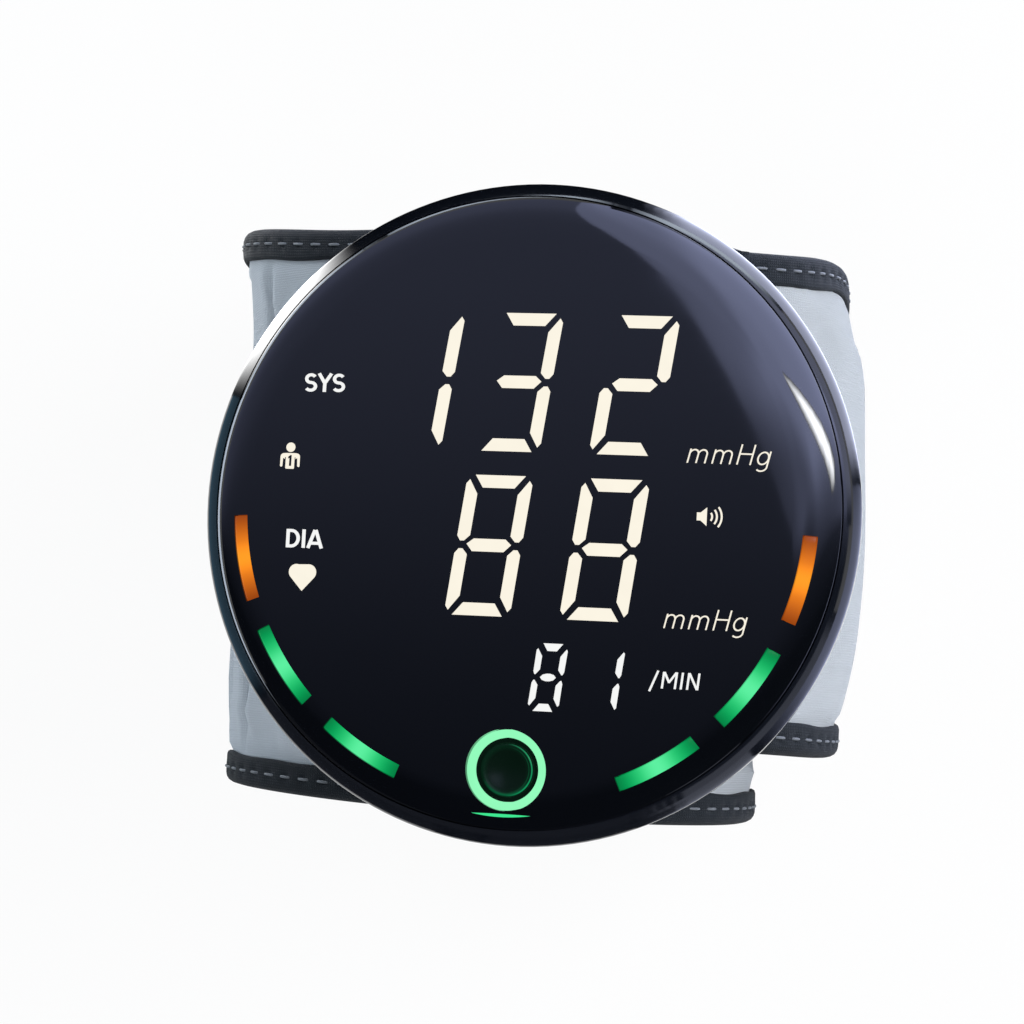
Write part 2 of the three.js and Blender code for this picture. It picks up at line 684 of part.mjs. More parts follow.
// Manifold and tubes that lead air from the pump to the sensor, the valve and the cuff.
function airLine() {
  const [portX, portY] = port_place;
  const body = block(manifold_size, portX, portY, inside_floor);
  const reach = manifold_size[0] + 2 * nipple_length;
  const cross = alongX(disc(nipple_radius, -reach / 2, reach / 2, tiny_steps))
    .translate(portX, portY, air_height);
  const upward = disc(
    nipple_radius, air_height, manifold_top + nipple_length / 2, tiny_steps, portX, portY);
  const socket = disc(
    port_radius + fit_gap, inside_floor - overrun, air_height - fit_gap, small_steps, portX, portY);
  add(monitor, "air_manifold", cut(join(body, cross, upward), socket), white_plastic);
  const inner = nipple_radius + tube_gap;
  const outer = inner + tube_wall;
  const sleeve = (length) => turned([[inner, 0], [outer, 0], [outer, length], [inner, length]], tiny_steps);
  const sensorTube = sleeve(sensor_base - manifold_top - 2 * fit_gap);
  add(monitor, "sensor_tube", sensorTube, clear_silicone, [portX, portY, manifold_top + fit_gap]);
  const valveStart = portX + manifold_size[0] / 2 + fit_gap;
  const valveEnd = valve_x - valve_size[0] / 2 - fit_gap;
  const valveTube = alongX(sleeve(valveEnd - valveStart));
  add(monitor, "valve_tube", valveTube, clear_silicone, [valveStart, portY, air_height]);
  const pumpExit = pump_face - pump_head_length - fit_gap;
  const manifoldSide = portX - manifold_size[0] / 2 - fit_gap;
  const bendX = pumpExit - nipple_length - outer;
  const route = new THREE.CatmullRomCurve3([
    new THREE.Vector3(pumpExit, pump_y, air_height),
    new THREE.Vector3(pumpExit - nipple_length, pump_y, air_height),
    new THREE.Vector3(bendX - outer / 2, portY + (pump_y - portY) * tube_bend_share, air_height),
    new THREE.Vector3(bendX, portY + outer, air_height),
    new THREE.Vector3(manifoldSide - nipple_length, portY, air_height),
    new THREE.Vector3(manifoldSide, portY, air_height),
  ]);
  const ring = new THREE.Shape();
  ring.absarc(0, 0, outer, 0, 2 * Math.PI);
  const bore = new THREE.Path();
  bore.absarc(0, 0, inner, 0, 2 * Math.PI, true);
  ring.holes.push(bore);
  const pumpTube = new THREE.ExtrudeGeometry(ring, {
    steps: tiny_steps, curveSegments: tiny_steps / 2, bevelEnabled: false, extrudePath: route,
  });
  add(monitor, "pump_tube", pumpTube, clear_silicone);
}

// Pan-head screws: four hold the back cover to the ring and three hold the board to the light shield.
function screw(shank) {
  const [crownShare, roundShare] = screw_crown_shares;
  const [slotLength, slotWidth, slotDepth] = driver_slot_shares;
  const body = turned([
    [0, 0],
    [screw_head_radius * crownShare, 0],
    [screw_head_radius, screw_head_height * roundShare],
    [screw_head_radius, screw_head_height],
    [screw_shank_radius, screw_head_height],
    [screw_shank_radius, screw_head_height + shank],
    [0, screw_head_height + shank],
  ], tiny_steps);
  const slotSize = [
    screw_head_radius * slotLength, screw_head_radius * slotWidth, screw_head_height * slotDepth + overrun];
  return cut(body, block(slotSize, 0, 0, -overrun));
}

function screws() {
  const caseScrew = screw(case_screw_shank);
  caseScrews.forEach(({ place }, i) => {
    add(monitor, `case_screw_${i + 1}`, caseScrew.clone(), bare_steel, [
      ...place, screw_seat_height - screw_head_height]);
  });
  const boardScrew = screw(board_screw_shank);
  boardScrews.forEach((place, i) => {
    add(monitor, `board_screw_${i + 1}`, boardScrew.clone(), bare_steel, [
      ...place, board_base - screw_head_height]);
  });
}

// The middle line of the cuff, as a point and its outward normal, at an angle counted round the loop.
function loopPoint(degrees) {
  const angle = radians(degrees);
  const halfWidth = degrees < 90 ? arm_half_width : loop_half_width;
  const bend = (value) => Math.sign(value) * Math.abs(value) ** (2 / loop_roundness);
  return [
    loop_shift + halfWidth * bend(Math.cos(angle)),
    floor_to_loop + loop_half_height * bend(Math.sin(angle)),
  ];
}

// The tail goes on from the right end of the loop and leans in over the short arm.
function tailPoint(degrees) {
  const angle = radians(degrees);
  return [tail_centre + tail_lean_width * Math.cos(angle), floor_to_loop + tail_rise * Math.sin(angle)];
}

// Stations along a line: place, outward normal, and how far the cloth reaches to each side.
function stations(pointAt, start, end, steps, sidesAt) {
  return Array.from({ length: steps + 1 }, (_, i) => {
    const at = start + ((end - start) * i) / steps;
    const near = ((end - start) / steps) * tangent_share;
    const back = pointAt(Math.max(at - near, start));
    const ahead = pointAt(Math.min(at + near, end));
    const tangent = new THREE.Vector2(ahead[0] - back[0], ahead[1] - back[1]).normalize();
    return { middle: pointAt(at), normal: [tangent.y, -tangent.x], sides: sidesAt(at) };
  });
}

const smooth = (share) => share * share * (3 - 2 * share);
function loopSides(degrees) {
  const along = (degrees - narrowing_start_angle) / (360 - narrowing_start_angle);
  const share = smooth(THREE.MathUtils.clamp(along, 0, 1));
  return [
    band_arm_side + (tail_arm_side - band_arm_side) * share,
    band_hand_side + (tail_hand_side - band_hand_side) * share,
  ];
}
const loop_end_angle = 360 - THREE.MathUtils.radToDeg(
  Math.asin((tail_hinge_gap / loop_half_height) ** (loop_roundness / 2)));
const loopLine = stations(loopPoint, arm_end_angle, loop_end_angle, loop_steps, loopSides);
const tailLine = stations(tailPoint, 0, tail_end_angle, tail_steps, () => [tail_arm_side, tail_hand_side]);

// Half thickness of the padded band: full in the middle, drawn in to thin flat sewn edges.
function padding(share) {
  const inside = Math.min(Math.abs(share), 1);
  return band_edge_thickness / 2 + ((band_thickness - band_edge_thickness) / 2) * (1 - inside * inside);
}

// Sweeps a closed section along stations; a section is a list of [side, offset] points in millimetres.
function swept(line, sectionAt) {
  const positions = [];
  const indices = [];
  for (const station of line) {
    const { middle: [x, z], normal: [outX, outZ] } = station;
    for (const [side, offset] of sectionAt(station)) {
      positions.push(x + outX * offset, side, z + outZ * offset);
    }
  }
  const around = positions.length / 3 / line.length;
  for (let i = 0; i + 1 < line.length; i += 1) {
    for (let j = 0; j < around; j += 1) {
      const a = i * around + j;
      const b = i * around + ((j + 1) % around);
      indices.push(a, b, b + around, a, b + around, a + around);
    }
  }
  const outline = sectionAt(line[0]).map(([side, offset]) => new THREE.Vector2(side, offset));
  const last = (line.length - 1) * around;
  const facets = THREE.ShapeUtils.triangulateShape(outline, []);
  const clockwise = THREE.ShapeUtils.isClockWise(outline);
  for (const [p, q, r] of clockwise ? facets.map((facet) => facet.reverse()) : facets) {
    indices.push(p, r, q, last + p, last + q, last + r);
  }
  const geometry = new THREE.BufferGeometry();
  geometry.setAttribute("position", new THREE.Float32BufferAttribute(positions, 3));
  geometry.setIndex(indices);
  return geometryOf(solid(geometry));
}

// One cloth layer on the outer (+1) or inner (-1) face of the band.
function clothLayer(facing) {
  const crownShares = facing > 0 ? cover_crown_shares : lining_crown_shares;
  return ({ sides: [armSide, handSide] }) => {
    const middle = (handSide - armSide) / 2;
    const half = (handSide + armSide) / 2;
    const edge = half - binding_thickness - binding_gap;
    const soft = half - binding_width - binding_gap;
    const places = [-edge, ...crownShares.map((share) => share * soft), edge];
    const face = places.map((place) => [middle + place, facing * padding(place / soft)]);
    const rear = face.map(([side, offset]) => [side, offset - facing * cloth_thickness]).reverse();
    return facing > 0 ? [...face, ...rear] : [...rear, ...face];
  };
}

// A folded strip that clasps one long edge of the band: +1 is the hand side and -1 the arm side.
function edgeBinding(toward) {
  return ({ sides: [armSide, handSide] }) => {
    const edge = toward > 0 ? handSide : -armSide;
    const inner = band_edge_thickness / 2 + binding_gap;
    const outer = inner + binding_thickness;
    const web = edge - toward * binding_thickness;
    const legEnd = edge - toward * binding_width;
    const round = outer * binding_round_share;
    const turn = edge - toward * (outer - round);
    return [
      [legEnd, outer], [turn, outer], [edge, round], [edge, -round], [turn, -outer], [legEnd, -outer],
      [legEnd, -inner], [web, -inner], [web, inner], [legEnd, inner],
    ];
  };
}

const cuffSole = () => block(
  [4 * loop_half_width, 4 * band_hand_side, loop_half_height], 0, 0, -loop_half_height);

// The padded band: outer cloth, lining, air bladder between them, and a binding along each edge.
function cuffBand() {
  const portHole = disc(
    port_radius + fit_gap, floor_to_loop + loop_half_height / 2, case_base, small_steps, ...port_place);
  const cover = swept(loopLine, clothLayer(1));
  add(cuff, "cuff_cover", cut(cover, portHole, cuffSole()), cuff_grey);
  add(cuff, "cuff_lining", swept(loopLine, clothLayer(-1)), lining_grey);
  const bladderSection = ({ sides: [armSide, handSide] }) => {
    const middle = (handSide - armSide) / 2;
    const half = (handSide + armSide) / 2 - binding_width;
    const shares = lining_crown_shares.map((share) => share * bladder_side_share);
    const top = shares.map((share) => [
      middle + share * half, padding(share) - cloth_thickness - bladder_gap]);
    const low = top.map(([side, offset]) => [side, -offset]).reverse();
    return [...top, ...low];
  };
  const padded = loopLine.slice(...bladder_span_shares.map((share) => Math.round(loop_steps * share)));
  add(cuff, "cuff_bladder", swept(padded, bladderSection), chip_black);
  add(cuff, "cuff_binding_hand", swept(loopLine, edgeBinding(1)), binding_black);
  add(cuff, "cuff_binding_arm", swept(loopLine, edgeBinding(-1)), binding_black);
}

// The tail: the same layers without a bladder, a bound end, and the hook patch on its inner face.
function cuffTail() {
  const clothEnd = tailLine.slice(0, -1);
  add(cuff, "tail_cover", swept(clothEnd, clothLayer(1)), cuff_grey);
  add(cuff, "tail_lining", swept(clothEnd, clothLayer(-1)), lining_grey);
  add(cuff, "tail_binding_hand", swept(clothEnd, edgeBinding(1)), binding_black);
  add(cuff, "tail_binding_arm", swept(clothEnd, edgeBinding(-1)), binding_black);
  const endSection = ({ sides: [armSide, handSide] }) => {
    const half = band_thickness / 2 - binding_gap;
    return [[-armSide, half], [-armSide, -half], [handSide, -half], [handSide, half]];
  };
  const endStart = tail_end_angle * (1 - end_binding_share);
  const endLine = stations(tailPoint, endStart, tail_end_angle, 1, () => [tail_arm_side, tail_hand_side]);
  add(cuff, "tail_end_binding", swept(endLine, endSection), binding_black);
  const hookSection = ({ sides: [armSide, handSide] }) => {
    const middle = (handSide - armSide) / 2;
    const half = ((handSide + armSide) / 2 - binding_width) * hook_side_share;
    const seat = lining_crown_shares.map((share) => [
      middle + share * half, -padding(share * hook_side_share) - binding_gap]);
    const face = seat.map(([side, offset]) => [side, offset - hook_thickness]).reverse();
    return [...face, ...seat].reverse();
  };
  const hookStart = Math.round(tail_steps * (1 - hook_length_share));
  add(cuff, "tail_hook_patch", swept(tailLine.slice(hookStart, -1), hookSection), hook_black);
}

// Saddle: a plate clipped between the case and the cuff, hollowed to the band's curve, and its air port.
function saddleAndPort() {
  const [portX, portY] = port_place;
  const plateLow = band_top - saddle_skirt;
  const width = saddle_reach + arm_half_width - saddle_inset;
  const outline = roundedRectangle(width, saddle_length, saddle_corner);
  const plate = raised(outline, plateLow, case_base).translate(loop_shift - saddle_reach + width / 2, 0, 0);
  const bandLine = loopLine.filter(({ middle: [, z] }) => z > floor_to_loop);
  const bandRoom = swept(bandLine, () => {
    const reach = saddle_length;
    const room = band_thickness / 2 + fit_gap;
    const depth = room + saddle_skirt;
    return [[-reach, room], [-reach, -depth], [reach, -depth], [reach, room]];
  });
  const hole = disc(port_radius + fit_gap, plateLow, case_base + overrun, small_steps, portX, portY);
  add(cuff, "cuff_saddle", cut(plate, bandRoom, hole), inner_black);
  const along = Math.abs(portX - loop_shift) / loop_half_width;
  const rise = (1 - along ** loop_roundness) ** (1 / loop_roundness);
  const bladderTop = floor_to_loop + loop_half_height * rise + band_thickness / 2 - cloth_thickness;
  const portTop = case_base + air_height - 2 * fit_gap;
  add(cuff, "air_port", turned([
    [port_bore, bladderTop],
    [port_radius, bladderTop],
    [port_radius, portTop],
    [port_bore, portTop],
  ], small_steps), white_plastic, [portX, portY, 0]);
}

backCover();
caseRing();
frontWindow();
lightShield();
lightGuides();
pushButton();
circuitBoard();
powerAndSound();
airPump();
exhaustValve();
airLine();
screws();
cuffBand();
cuffTail();
saddleAndPort();

export default model;
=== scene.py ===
# %% [markdown]
# This lesson dresses the CAD model of a wrist blood pressure monitor so that it looks like the real one.
# The CAD parts come in as a fixed frame, in metres, and every dressed piece is built in the same frame.
# The real object is a round glossy dial on a padded cloth cuff, so the lesson has three kinds of work:
# hard polished shells, lit signs, and sewn cloth.

# %% Load the frame
import json
import math

import bmesh
import bpy
import numpy as np
from mathutils import Matrix, Vector


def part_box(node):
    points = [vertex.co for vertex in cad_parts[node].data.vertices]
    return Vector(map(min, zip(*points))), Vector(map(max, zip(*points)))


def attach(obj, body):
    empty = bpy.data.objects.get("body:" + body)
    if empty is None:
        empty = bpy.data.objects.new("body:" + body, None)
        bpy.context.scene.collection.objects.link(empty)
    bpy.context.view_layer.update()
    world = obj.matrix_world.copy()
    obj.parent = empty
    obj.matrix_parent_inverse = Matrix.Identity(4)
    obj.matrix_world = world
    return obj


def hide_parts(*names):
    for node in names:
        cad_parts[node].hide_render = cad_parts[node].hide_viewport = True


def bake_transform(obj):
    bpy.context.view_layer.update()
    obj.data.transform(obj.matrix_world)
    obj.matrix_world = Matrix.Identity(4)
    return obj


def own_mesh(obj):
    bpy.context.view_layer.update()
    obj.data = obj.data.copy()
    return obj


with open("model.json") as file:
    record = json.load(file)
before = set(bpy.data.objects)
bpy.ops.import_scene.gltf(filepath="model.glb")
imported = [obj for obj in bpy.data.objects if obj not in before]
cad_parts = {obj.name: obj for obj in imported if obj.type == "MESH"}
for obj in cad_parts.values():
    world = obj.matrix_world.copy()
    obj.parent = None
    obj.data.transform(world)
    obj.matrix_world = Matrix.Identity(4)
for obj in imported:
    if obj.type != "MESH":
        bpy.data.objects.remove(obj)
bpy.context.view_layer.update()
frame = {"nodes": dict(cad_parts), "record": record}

scene = bpy.context.scene
scene.view_settings.view_transform = "Standard"
mm = 0.001

# %% [markdown]
# The sizes below are those of the CAD parts, in millimetres, so that each dressed piece sits where its
# solid is. Heights of the case are counted from the flat back of the case, which lies 58 mm above the
# table, on top of the cuff and its saddle.

# %% Sizes of the case, in millimetres
case_base = 58.0
case_radius = 36.0
case_back_radius = 27.0
rim_height = 17.9
parting_height = 7.0
crown_height = 23.0
seam_radius = 34.23
window_radius = 34.1
dome_drop = 1.6
edge_start = 29.5
edge_fall = 1.0
button_y = -27.8
guide_inner = 30.3
guide_width = 1.4
guide_first_angle = 12.0
guide_pitch_angle = 23.4
guide_span_angle = 17.0
case_wall = 1.8


def dome_height(radius):
    """Height above the table of the window's face at a distance from the dial's centre."""
    fall = max(radius - edge_start, 0.0) / (window_radius - edge_start)
    crown = case_base + crown_height - dome_drop * (radius / window_radius) ** 2
    return crown - edge_fall * fall ** 3


def case_radius_at(height):
    """Outer radius of the case at a height above its back, from the back up to the rim."""
    share = (rim_height - height) / rim_height
    return case_back_radius + (case_radius - case_back_radius) * math.sqrt(1 - share * share)


print("The dial's crown lies", round(dome_height(0), 2), "mm above the table")

# %% [markdown]
# The camera comes next, because every likeness is judged through it. The photograph looks almost
# straight down on the dial, from a little to the right and from below, at about a quarter of a metre.
# Its place was solved from the outline of the case, so it is written as two angles, a distance and a roll.

# %% Camera
camera_yaw = math.radians(11.32)
camera_pitch = math.radians(4.78)
camera_roll = math.radians(3.0)
camera_distance = 255.0
camera_slide = (-1.53, -0.05)
focal_pixels = 2356.24
picture_pixels = 1024
sensor_width = 36.0
rim_centre = Vector((0, 0, case_base + rim_height))

toward = Vector((
    math.sin(camera_yaw) * math.cos(camera_pitch),
    -math.sin(camera_pitch),
    math.cos(camera_yaw) * math.cos(camera_pitch),
))
level = Vector((0, 1, 0)).cross(toward).normalized()
upright = toward.cross(level)
right = level * math.cos(camera_roll) + upright * math.sin(camera_roll)
up = upright * math.cos(camera_roll) - level * math.sin(camera_roll)
place = rim_centre + toward * camera_distance + right * camera_slide[0] + up * camera_slide[1]

camera_data = bpy.data.cameras.new("camera")
camera_data.sensor_width = sensor_width
camera_data.lens = focal_pixels * sensor_width / picture_pixels
camera_data.clip_start = 0.01
camera = bpy.data.objects.new("camera", camera_data)
scene.collection.objects.link(camera)
turn = Matrix((right, up, toward)).transposed().to_4x4()
camera.matrix_world = Matrix.Translation(place * mm) @ turn
scene.camera = camera
print("Lens:", round(camera_data.lens, 1), "mm, camera at", [round(value) for value in place], "mm")

# %% [markdown]
# The studio is a pale floor in a pale room. A camera ray, or a ray that a shiny or clear surface sends
# out, sees the floor nearly white, while the light that it throws on the object stays at a plain level.
# It keeps a small part of its plain shading, so that the object's soft shadow still shows on it.

# %% Floor


def new_material(name):
    material = bpy.data.materials.new(name)
    material.use_nodes = True
    material.node_tree.nodes.clear()
    return material, material.node_tree


def link(tree, start, end):
    tree.links.new(start, end)


def seen_directly(tree):
    """One where a ray comes from the camera, or from a mirror-like or clear surface."""
    path = tree.nodes.new("ShaderNodeLightPath")
    total = path.outputs["Is Camera Ray"]
    for name in ("Is Glossy Ray", "Is Transmission Ray"):
        either = tree.nodes.new("ShaderNodeMath")
        either.operation = "MAXIMUM"
        link(tree, total, either.inputs[0])
        link(tree, path.outputs[name], either.inputs[1])
        total = either.outputs[0]
    return total


floor_half = 3.0
floor_colour = (0.86, 0.87, 0.88)
floor_white_share = 0.93
floor_material, tree = new_material("studio_floor")
plain = tree.nodes.new("ShaderNodeBsdfDiffuse")
plain.inputs["Color"].default_value = (*floor_colour, 1)
white = tree.nodes.new("ShaderNodeEmission")
white.inputs["Color"].default_value = (1, 1, 1, 1)
white.inputs["Strength"].default_value = 1.0
share = tree.nodes.new("ShaderNodeMath")
share.operation = "MULTIPLY"
share.inputs[1].default_value = floor_white_share
mix = tree.nodes.new("ShaderNodeMixShader")
output = tree.nodes.new("ShaderNodeOutputMaterial")
link(tree, seen_directly(tree), share.inputs[0])
link(tree, share.outputs[0], mix.inputs["Fac"])
link(tree, plain.outputs[0], mix.inputs[1])
link(tree, white.outputs[0], mix.inputs[2])
link(tree, mix.outputs[0], output.inputs["Surface"])

floor_mesh = bpy.data.meshes.new("studio_floor")
corners = [(-floor_half, -floor_half, 0), (floor_half, -floor_half, 0)]
corners += [(floor_half, floor_half, 0), (-floor_half, floor_half, 0)]
floor_mesh.from_pydata(corners, [], [(0, 1, 2, 3)])
floor_mesh.materials.append(floor_material)
floor = bpy.data.objects.new("studio_floor", floor_mesh)
scene.collection.objects.link(floor)
print("Floor:", 2 * floor_half, "m wide,", floor_white_share, "of it white where it is seen directly")

# %% [markdown]
# Beyond the floor lies the room. Its light is a weak, cool one from all sides, so that nothing goes
# black, and where it is seen directly, or in a mirror image, it is white.

# %% Pale room
room_colour = (0.86, 0.92, 1.0)
room_strength = 0.32
world = bpy.data.worlds.new("pale_room")
world.use_nodes = True
scene.world = world
tree = world.node_tree
tree.nodes.clear()
room_light = tree.nodes.new("ShaderNodeBackground")
room_light.inputs["Color"].default_value = (*room_colour, 1)
room_light.inputs["Strength"].default_value = room_strength
room_seen = tree.nodes.new("ShaderNodeBackground")
room_seen.inputs["Color"].default_value = (1, 1, 1, 1)
room_seen.inputs["Strength"].default_value = 1.0
mix = tree.nodes.new("ShaderNodeMixShader")
output = tree.nodes.new("ShaderNodeOutputWorld")
link(tree, seen_directly(tree), mix.inputs["Fac"])
link(tree, room_light.outputs[0], mix.inputs[1])
link(tree, room_seen.outputs[0], mix.inputs[2])
link(tree, mix.outputs[0], output.inputs["Surface"])
print("Room: strength", room_strength)

# %% [markdown]
# The lamps are soft boxes, as for product photographs. They light only the cloth and other dull
# surfaces: mirror-like rays pass them by, because what the gloss shows comes from cards, further on.
# A strong one stands at the right, a cool one low at the left for the shaded side of the cuff, a weak
# one at the upper left, and one in front of the lower edge of the dial.

# %% Lamps


def soft_box(name, towards, distance, size, power, colour=(1, 1, 1)):
    """A lamp that faces the dial from a direction; distance and size are in metres, power in watts."""
    data = bpy.data.lights.new(name, "AREA")
    data.shape = "RECTANGLE"
    data.size, data.size_y = size
    data.energy = power
    data.color = colour
    lamp = bpy.data.objects.new(name, data)
    direction = Vector(towards).normalized()
    target = rim_centre * mm
    lamp.location = target + direction * distance
    lamp.rotation_euler = direction.to_track_quat("Z", "Y").to_euler()
    lamp.visible_glossy = False
    scene.collection.objects.link(lamp)
    return lamp


soft_box("box_right", (0.85, 0.25, 0.55), 0.9, (0.7, 0.5), 9.0)
soft_box("box_upper_left", (-0.62, 0.62, 0.42), 0.8, (0.5, 0.16), 0.8, (0.7, 0.95, 1.0))
soft_box("box_left", (-1.0, -0.1, 0.03), 1.0, (0.3, 0.6), 6.5, (0.88, 0.95, 1.0))
soft_box("box_below", (0.1, -0.9, 0.5), 1.0, (0.7, 0.4), 2.5)

# %% [markdown]
# A polished black window shows little of its own colour: it shows what hangs above it. Light painted on
# the window would stay in place from every side, which gloss never does. So printed cards stand round
# the object, as black and white cards do in a photographer's studio, and only mirror-like rays meet
# them. How bright a card is at a point is stored on its points, so that it can fade softly.

# %% Helpers for cards that the gloss mirrors
glow_layer = "glow"


def smooth(low, high, value):
    share = np.clip((value - low) / (high - low), 0, 1)
    return share * share * (3 - 2 * share)


def glow_material(name, colour, strength):
    """Light of one colour; how strong it is at a point is stored on the card's points."""
    material, tree = new_material(name)
    stored = tree.nodes.new("ShaderNodeAttribute")
    stored.attribute_name = glow_layer
    level = tree.nodes.new("ShaderNodeMath")
    level.operation = "MULTIPLY"
    level.inputs[1].default_value = strength
    glow = tree.nodes.new("ShaderNodeEmission")
    glow.inputs["Color"].default_value = (*colour, 1)
    output = tree.nodes.new("ShaderNodeOutputMaterial")
    link(tree, stored.outputs["Fac"], level.inputs[0])
    link(tree, level.outputs[0], glow.inputs["Strength"])
    link(tree, glow.outputs[0], output.inputs["Surface"])
    return material


def hang_card(name, x, y, z, glow, material):
    """A card from a grid of points, in metres, that only mirror-like rays meet."""
    rows, columns = np.shape(x)
    points = np.stack([x, y, z], axis=2).reshape(-1, 3)
    faces = [(i * columns + j, i * columns + j + 1, (i + 1) * columns + j + 1, (i + 1) * columns + j)
             for i in range(rows - 1) for j in range(columns - 1)]
    mesh = bpy.data.meshes.new(name)
    mesh.from_pydata(points.tolist(), [], faces)
    mesh.attributes.new(glow_layer, "FLOAT", "POINT").data.foreach_set("value", np.ravel(glow).tolist())
    mesh.materials.append(material)
    card = bpy.data.objects.new(name, mesh)
    scene.collection.objects.link(card)
    card.visible_camera = False
    card.visible_diffuse = False
    card.visible_transmission = False
    card.visible_volume_scatter = False
    card.visible_shadow = False
    return card


print("Cards can be hung; their brightness is stored as", glow_layer)

# %% [markdown]
# The large card overhead is dark where the dial is dark, and fades to a cool grey towards the top. The
# pale panel hangs just below it at the right. Its left edge is a curve, and rows of points fan out from
# there to the far right. They lie close together near the edge, where the light changes fast.

# %% Overhead card and pale panel
card_height = 1.1
card_half = 5.0
card_steps = 61
card_gap = 0.005


def overhead_glow(x, y):
    """How bright the overhead card is at a place: it fades towards +Y."""
    return 0.03 + 0.07 * smooth(-0.5, -0.15, y) + 0.5 * smooth(-0.25, 0.5, y) + 0.35 * smooth(0.4, 2.0, y)


def panel_glow(x, y, past_edge):
    """How bright the pale panel is: strongest at the upper right, and lost in the dark at its lower end."""
    direction = np.degrees(np.arctan2(y, x))
    brightest = smooth(10, 30, direction) * (1 - smooth(70, 82, direction)) * smooth(0, 0.04, past_edge)
    level = 1.9 + 0.4 * smooth(0, 0.04, past_edge) + 0.5 * smooth(0.1, 0.6, past_edge)
    level = (level + smooth(0.6, 3, past_edge) + 1.1 * brightest) * (0.35 + 0.75 * smooth(5, 34, direction))
    level = level * (1 - 0.6 * (1 - smooth(0.14, 0.28, y)) * (1 - smooth(0.1, 0.4, past_edge)))
    base = overhead_glow(x, y)
    return base + (level - base) * smooth(-0.12, 0.06, y - 0.12 * x)


spacing = np.linspace(-1, 1, card_steps)
spacing = np.sign(spacing) * spacing ** 2 * card_half
grid_x, grid_y = np.meshgrid(spacing, spacing)
overhead = glow_material("overhead_card", (0.57, 0.63, 1.0), 1.3)
hang_card("overhead_card", grid_x, grid_y, card_height + 0 * grid_x, overhead_glow(grid_x, grid_y), overhead)

panel_edge = np.array([
    (-0.3, 5.0), (-0.16, 1.5), (-0.105, 0.7), (-0.078, 0.42), (-0.053, 0.369), (-0.028, 0.34),
    (-0.006, 0.308), (0.013, 0.278), (0.032, 0.247), (0.048, 0.217), (0.063, 0.19), (0.078, 0.156),
    (0.091, 0.127), (0.101, 0.098), (0.112, 0.07), (0.13, 0.03), (0.15, -0.02), (0.17, -0.1)])
panel_rows, panel_columns = 120, 48
panel_width = 6.0
panel_reach = panel_width * np.linspace(0, 1, panel_columns)[None, :] ** 3
fan = np.radians(np.linspace(72, -25, panel_rows))[:, None]
edge_at = np.linspace(0, len(panel_edge) - 1, panel_rows)
edge_x, edge_y = (np.interp(edge_at, range(len(panel_edge)), column)[:, None] for column in panel_edge.T)
panel_x = edge_x + panel_reach * np.cos(fan)
panel_y = edge_y + panel_reach * np.sin(fan)
hang_card("pale_panel_card", panel_x, panel_y, card_height - card_gap + 0 * panel_x,
          panel_glow(panel_x, panel_y, panel_reach), overhead)
print("Overhead card:", 2 * card_half, "m wide,", card_height, "m up; panel rows:", panel_rows)

# %% [markdown]
# The bright crescent at the right of the dial is the mirror image of a long bent lamp. A narrow strip of
# card with a bright middle line and dark rims gives the same crescent, with soft ends.

# %% White strip
strip_outer = [(0.29, 0.38), (0.378, 0.417), (0.554, 0.473), (0.825, 0.556), (1.21, 0.639), (1.593, 0.682),
               (1.815, 0.614), (1.613, 0.424)]
strip_inner = [(0.271, 0.342), (0.324, 0.33), (0.435, 0.323), (0.602, 0.321), (0.827, 0.328), (1.036, 0.298),
               (1.135, 0.248), (1.276, 0.281)]
strip_glow = [0.15, 0.4, 0.75, 1.0, 1.0, 0.8, 0.5, 0.1]
outer, inner = np.array(strip_outer), np.array(strip_inner)
rails = np.stack([outer, (outer + inner) / 2, inner])
dark_rim = np.zeros(len(strip_glow))
glow = np.stack([dark_rim, np.array(strip_glow), dark_rim])
white_strip = glow_material("white_strip", (0.93, 0.95, 1.0), 45.0)
strip_height = card_height - 2 * card_gap
hang_card("white_strip", rails[:, :, 0], rails[:, :, 1], strip_height + 0 * glow, glow, white_strip)
print("White strip:", len(strip_glow), "stations,", strip_height, "m up")

# %% [markdown]
# The case bulges, so its rim mirrors what stands round it, close to the floor. Cards bent round the
# object give each stretch of the rim its tone: black at the top, white at the upper left, dim and cool
# at the left, dark below and pale at the right. Narrow cards further out and higher up draw the thin
# line along the edge of the window.

# %% Low cards round the object


def low_card(name, first, last, soft_ends, profile, strength, colour=(1, 1, 1)):
    """A card bent round the object: profile lists (radius, height, glow), the angles are in degrees."""
    angles = np.linspace(first, last, 41)[:, None]
    radius, height, level = (np.array(column)[None, :] for column in zip(*profile))
    x = radius * np.cos(np.radians(angles))
    y = radius * np.sin(np.radians(angles))
    ends = smooth(0, soft_ends, angles - first) * smooth(0, soft_ends, last - angles)
    hang_card(name, x, y, height + 0 * x, ends * level, glow_material(name, colour, strength))


def floor_profile(near, height):
    """A card that lies just above the floor from a radius outwards, and turns up at its far end."""
    return [(near, height, 1), (0.6, height, 1), (0.7, 0.09, 1)]


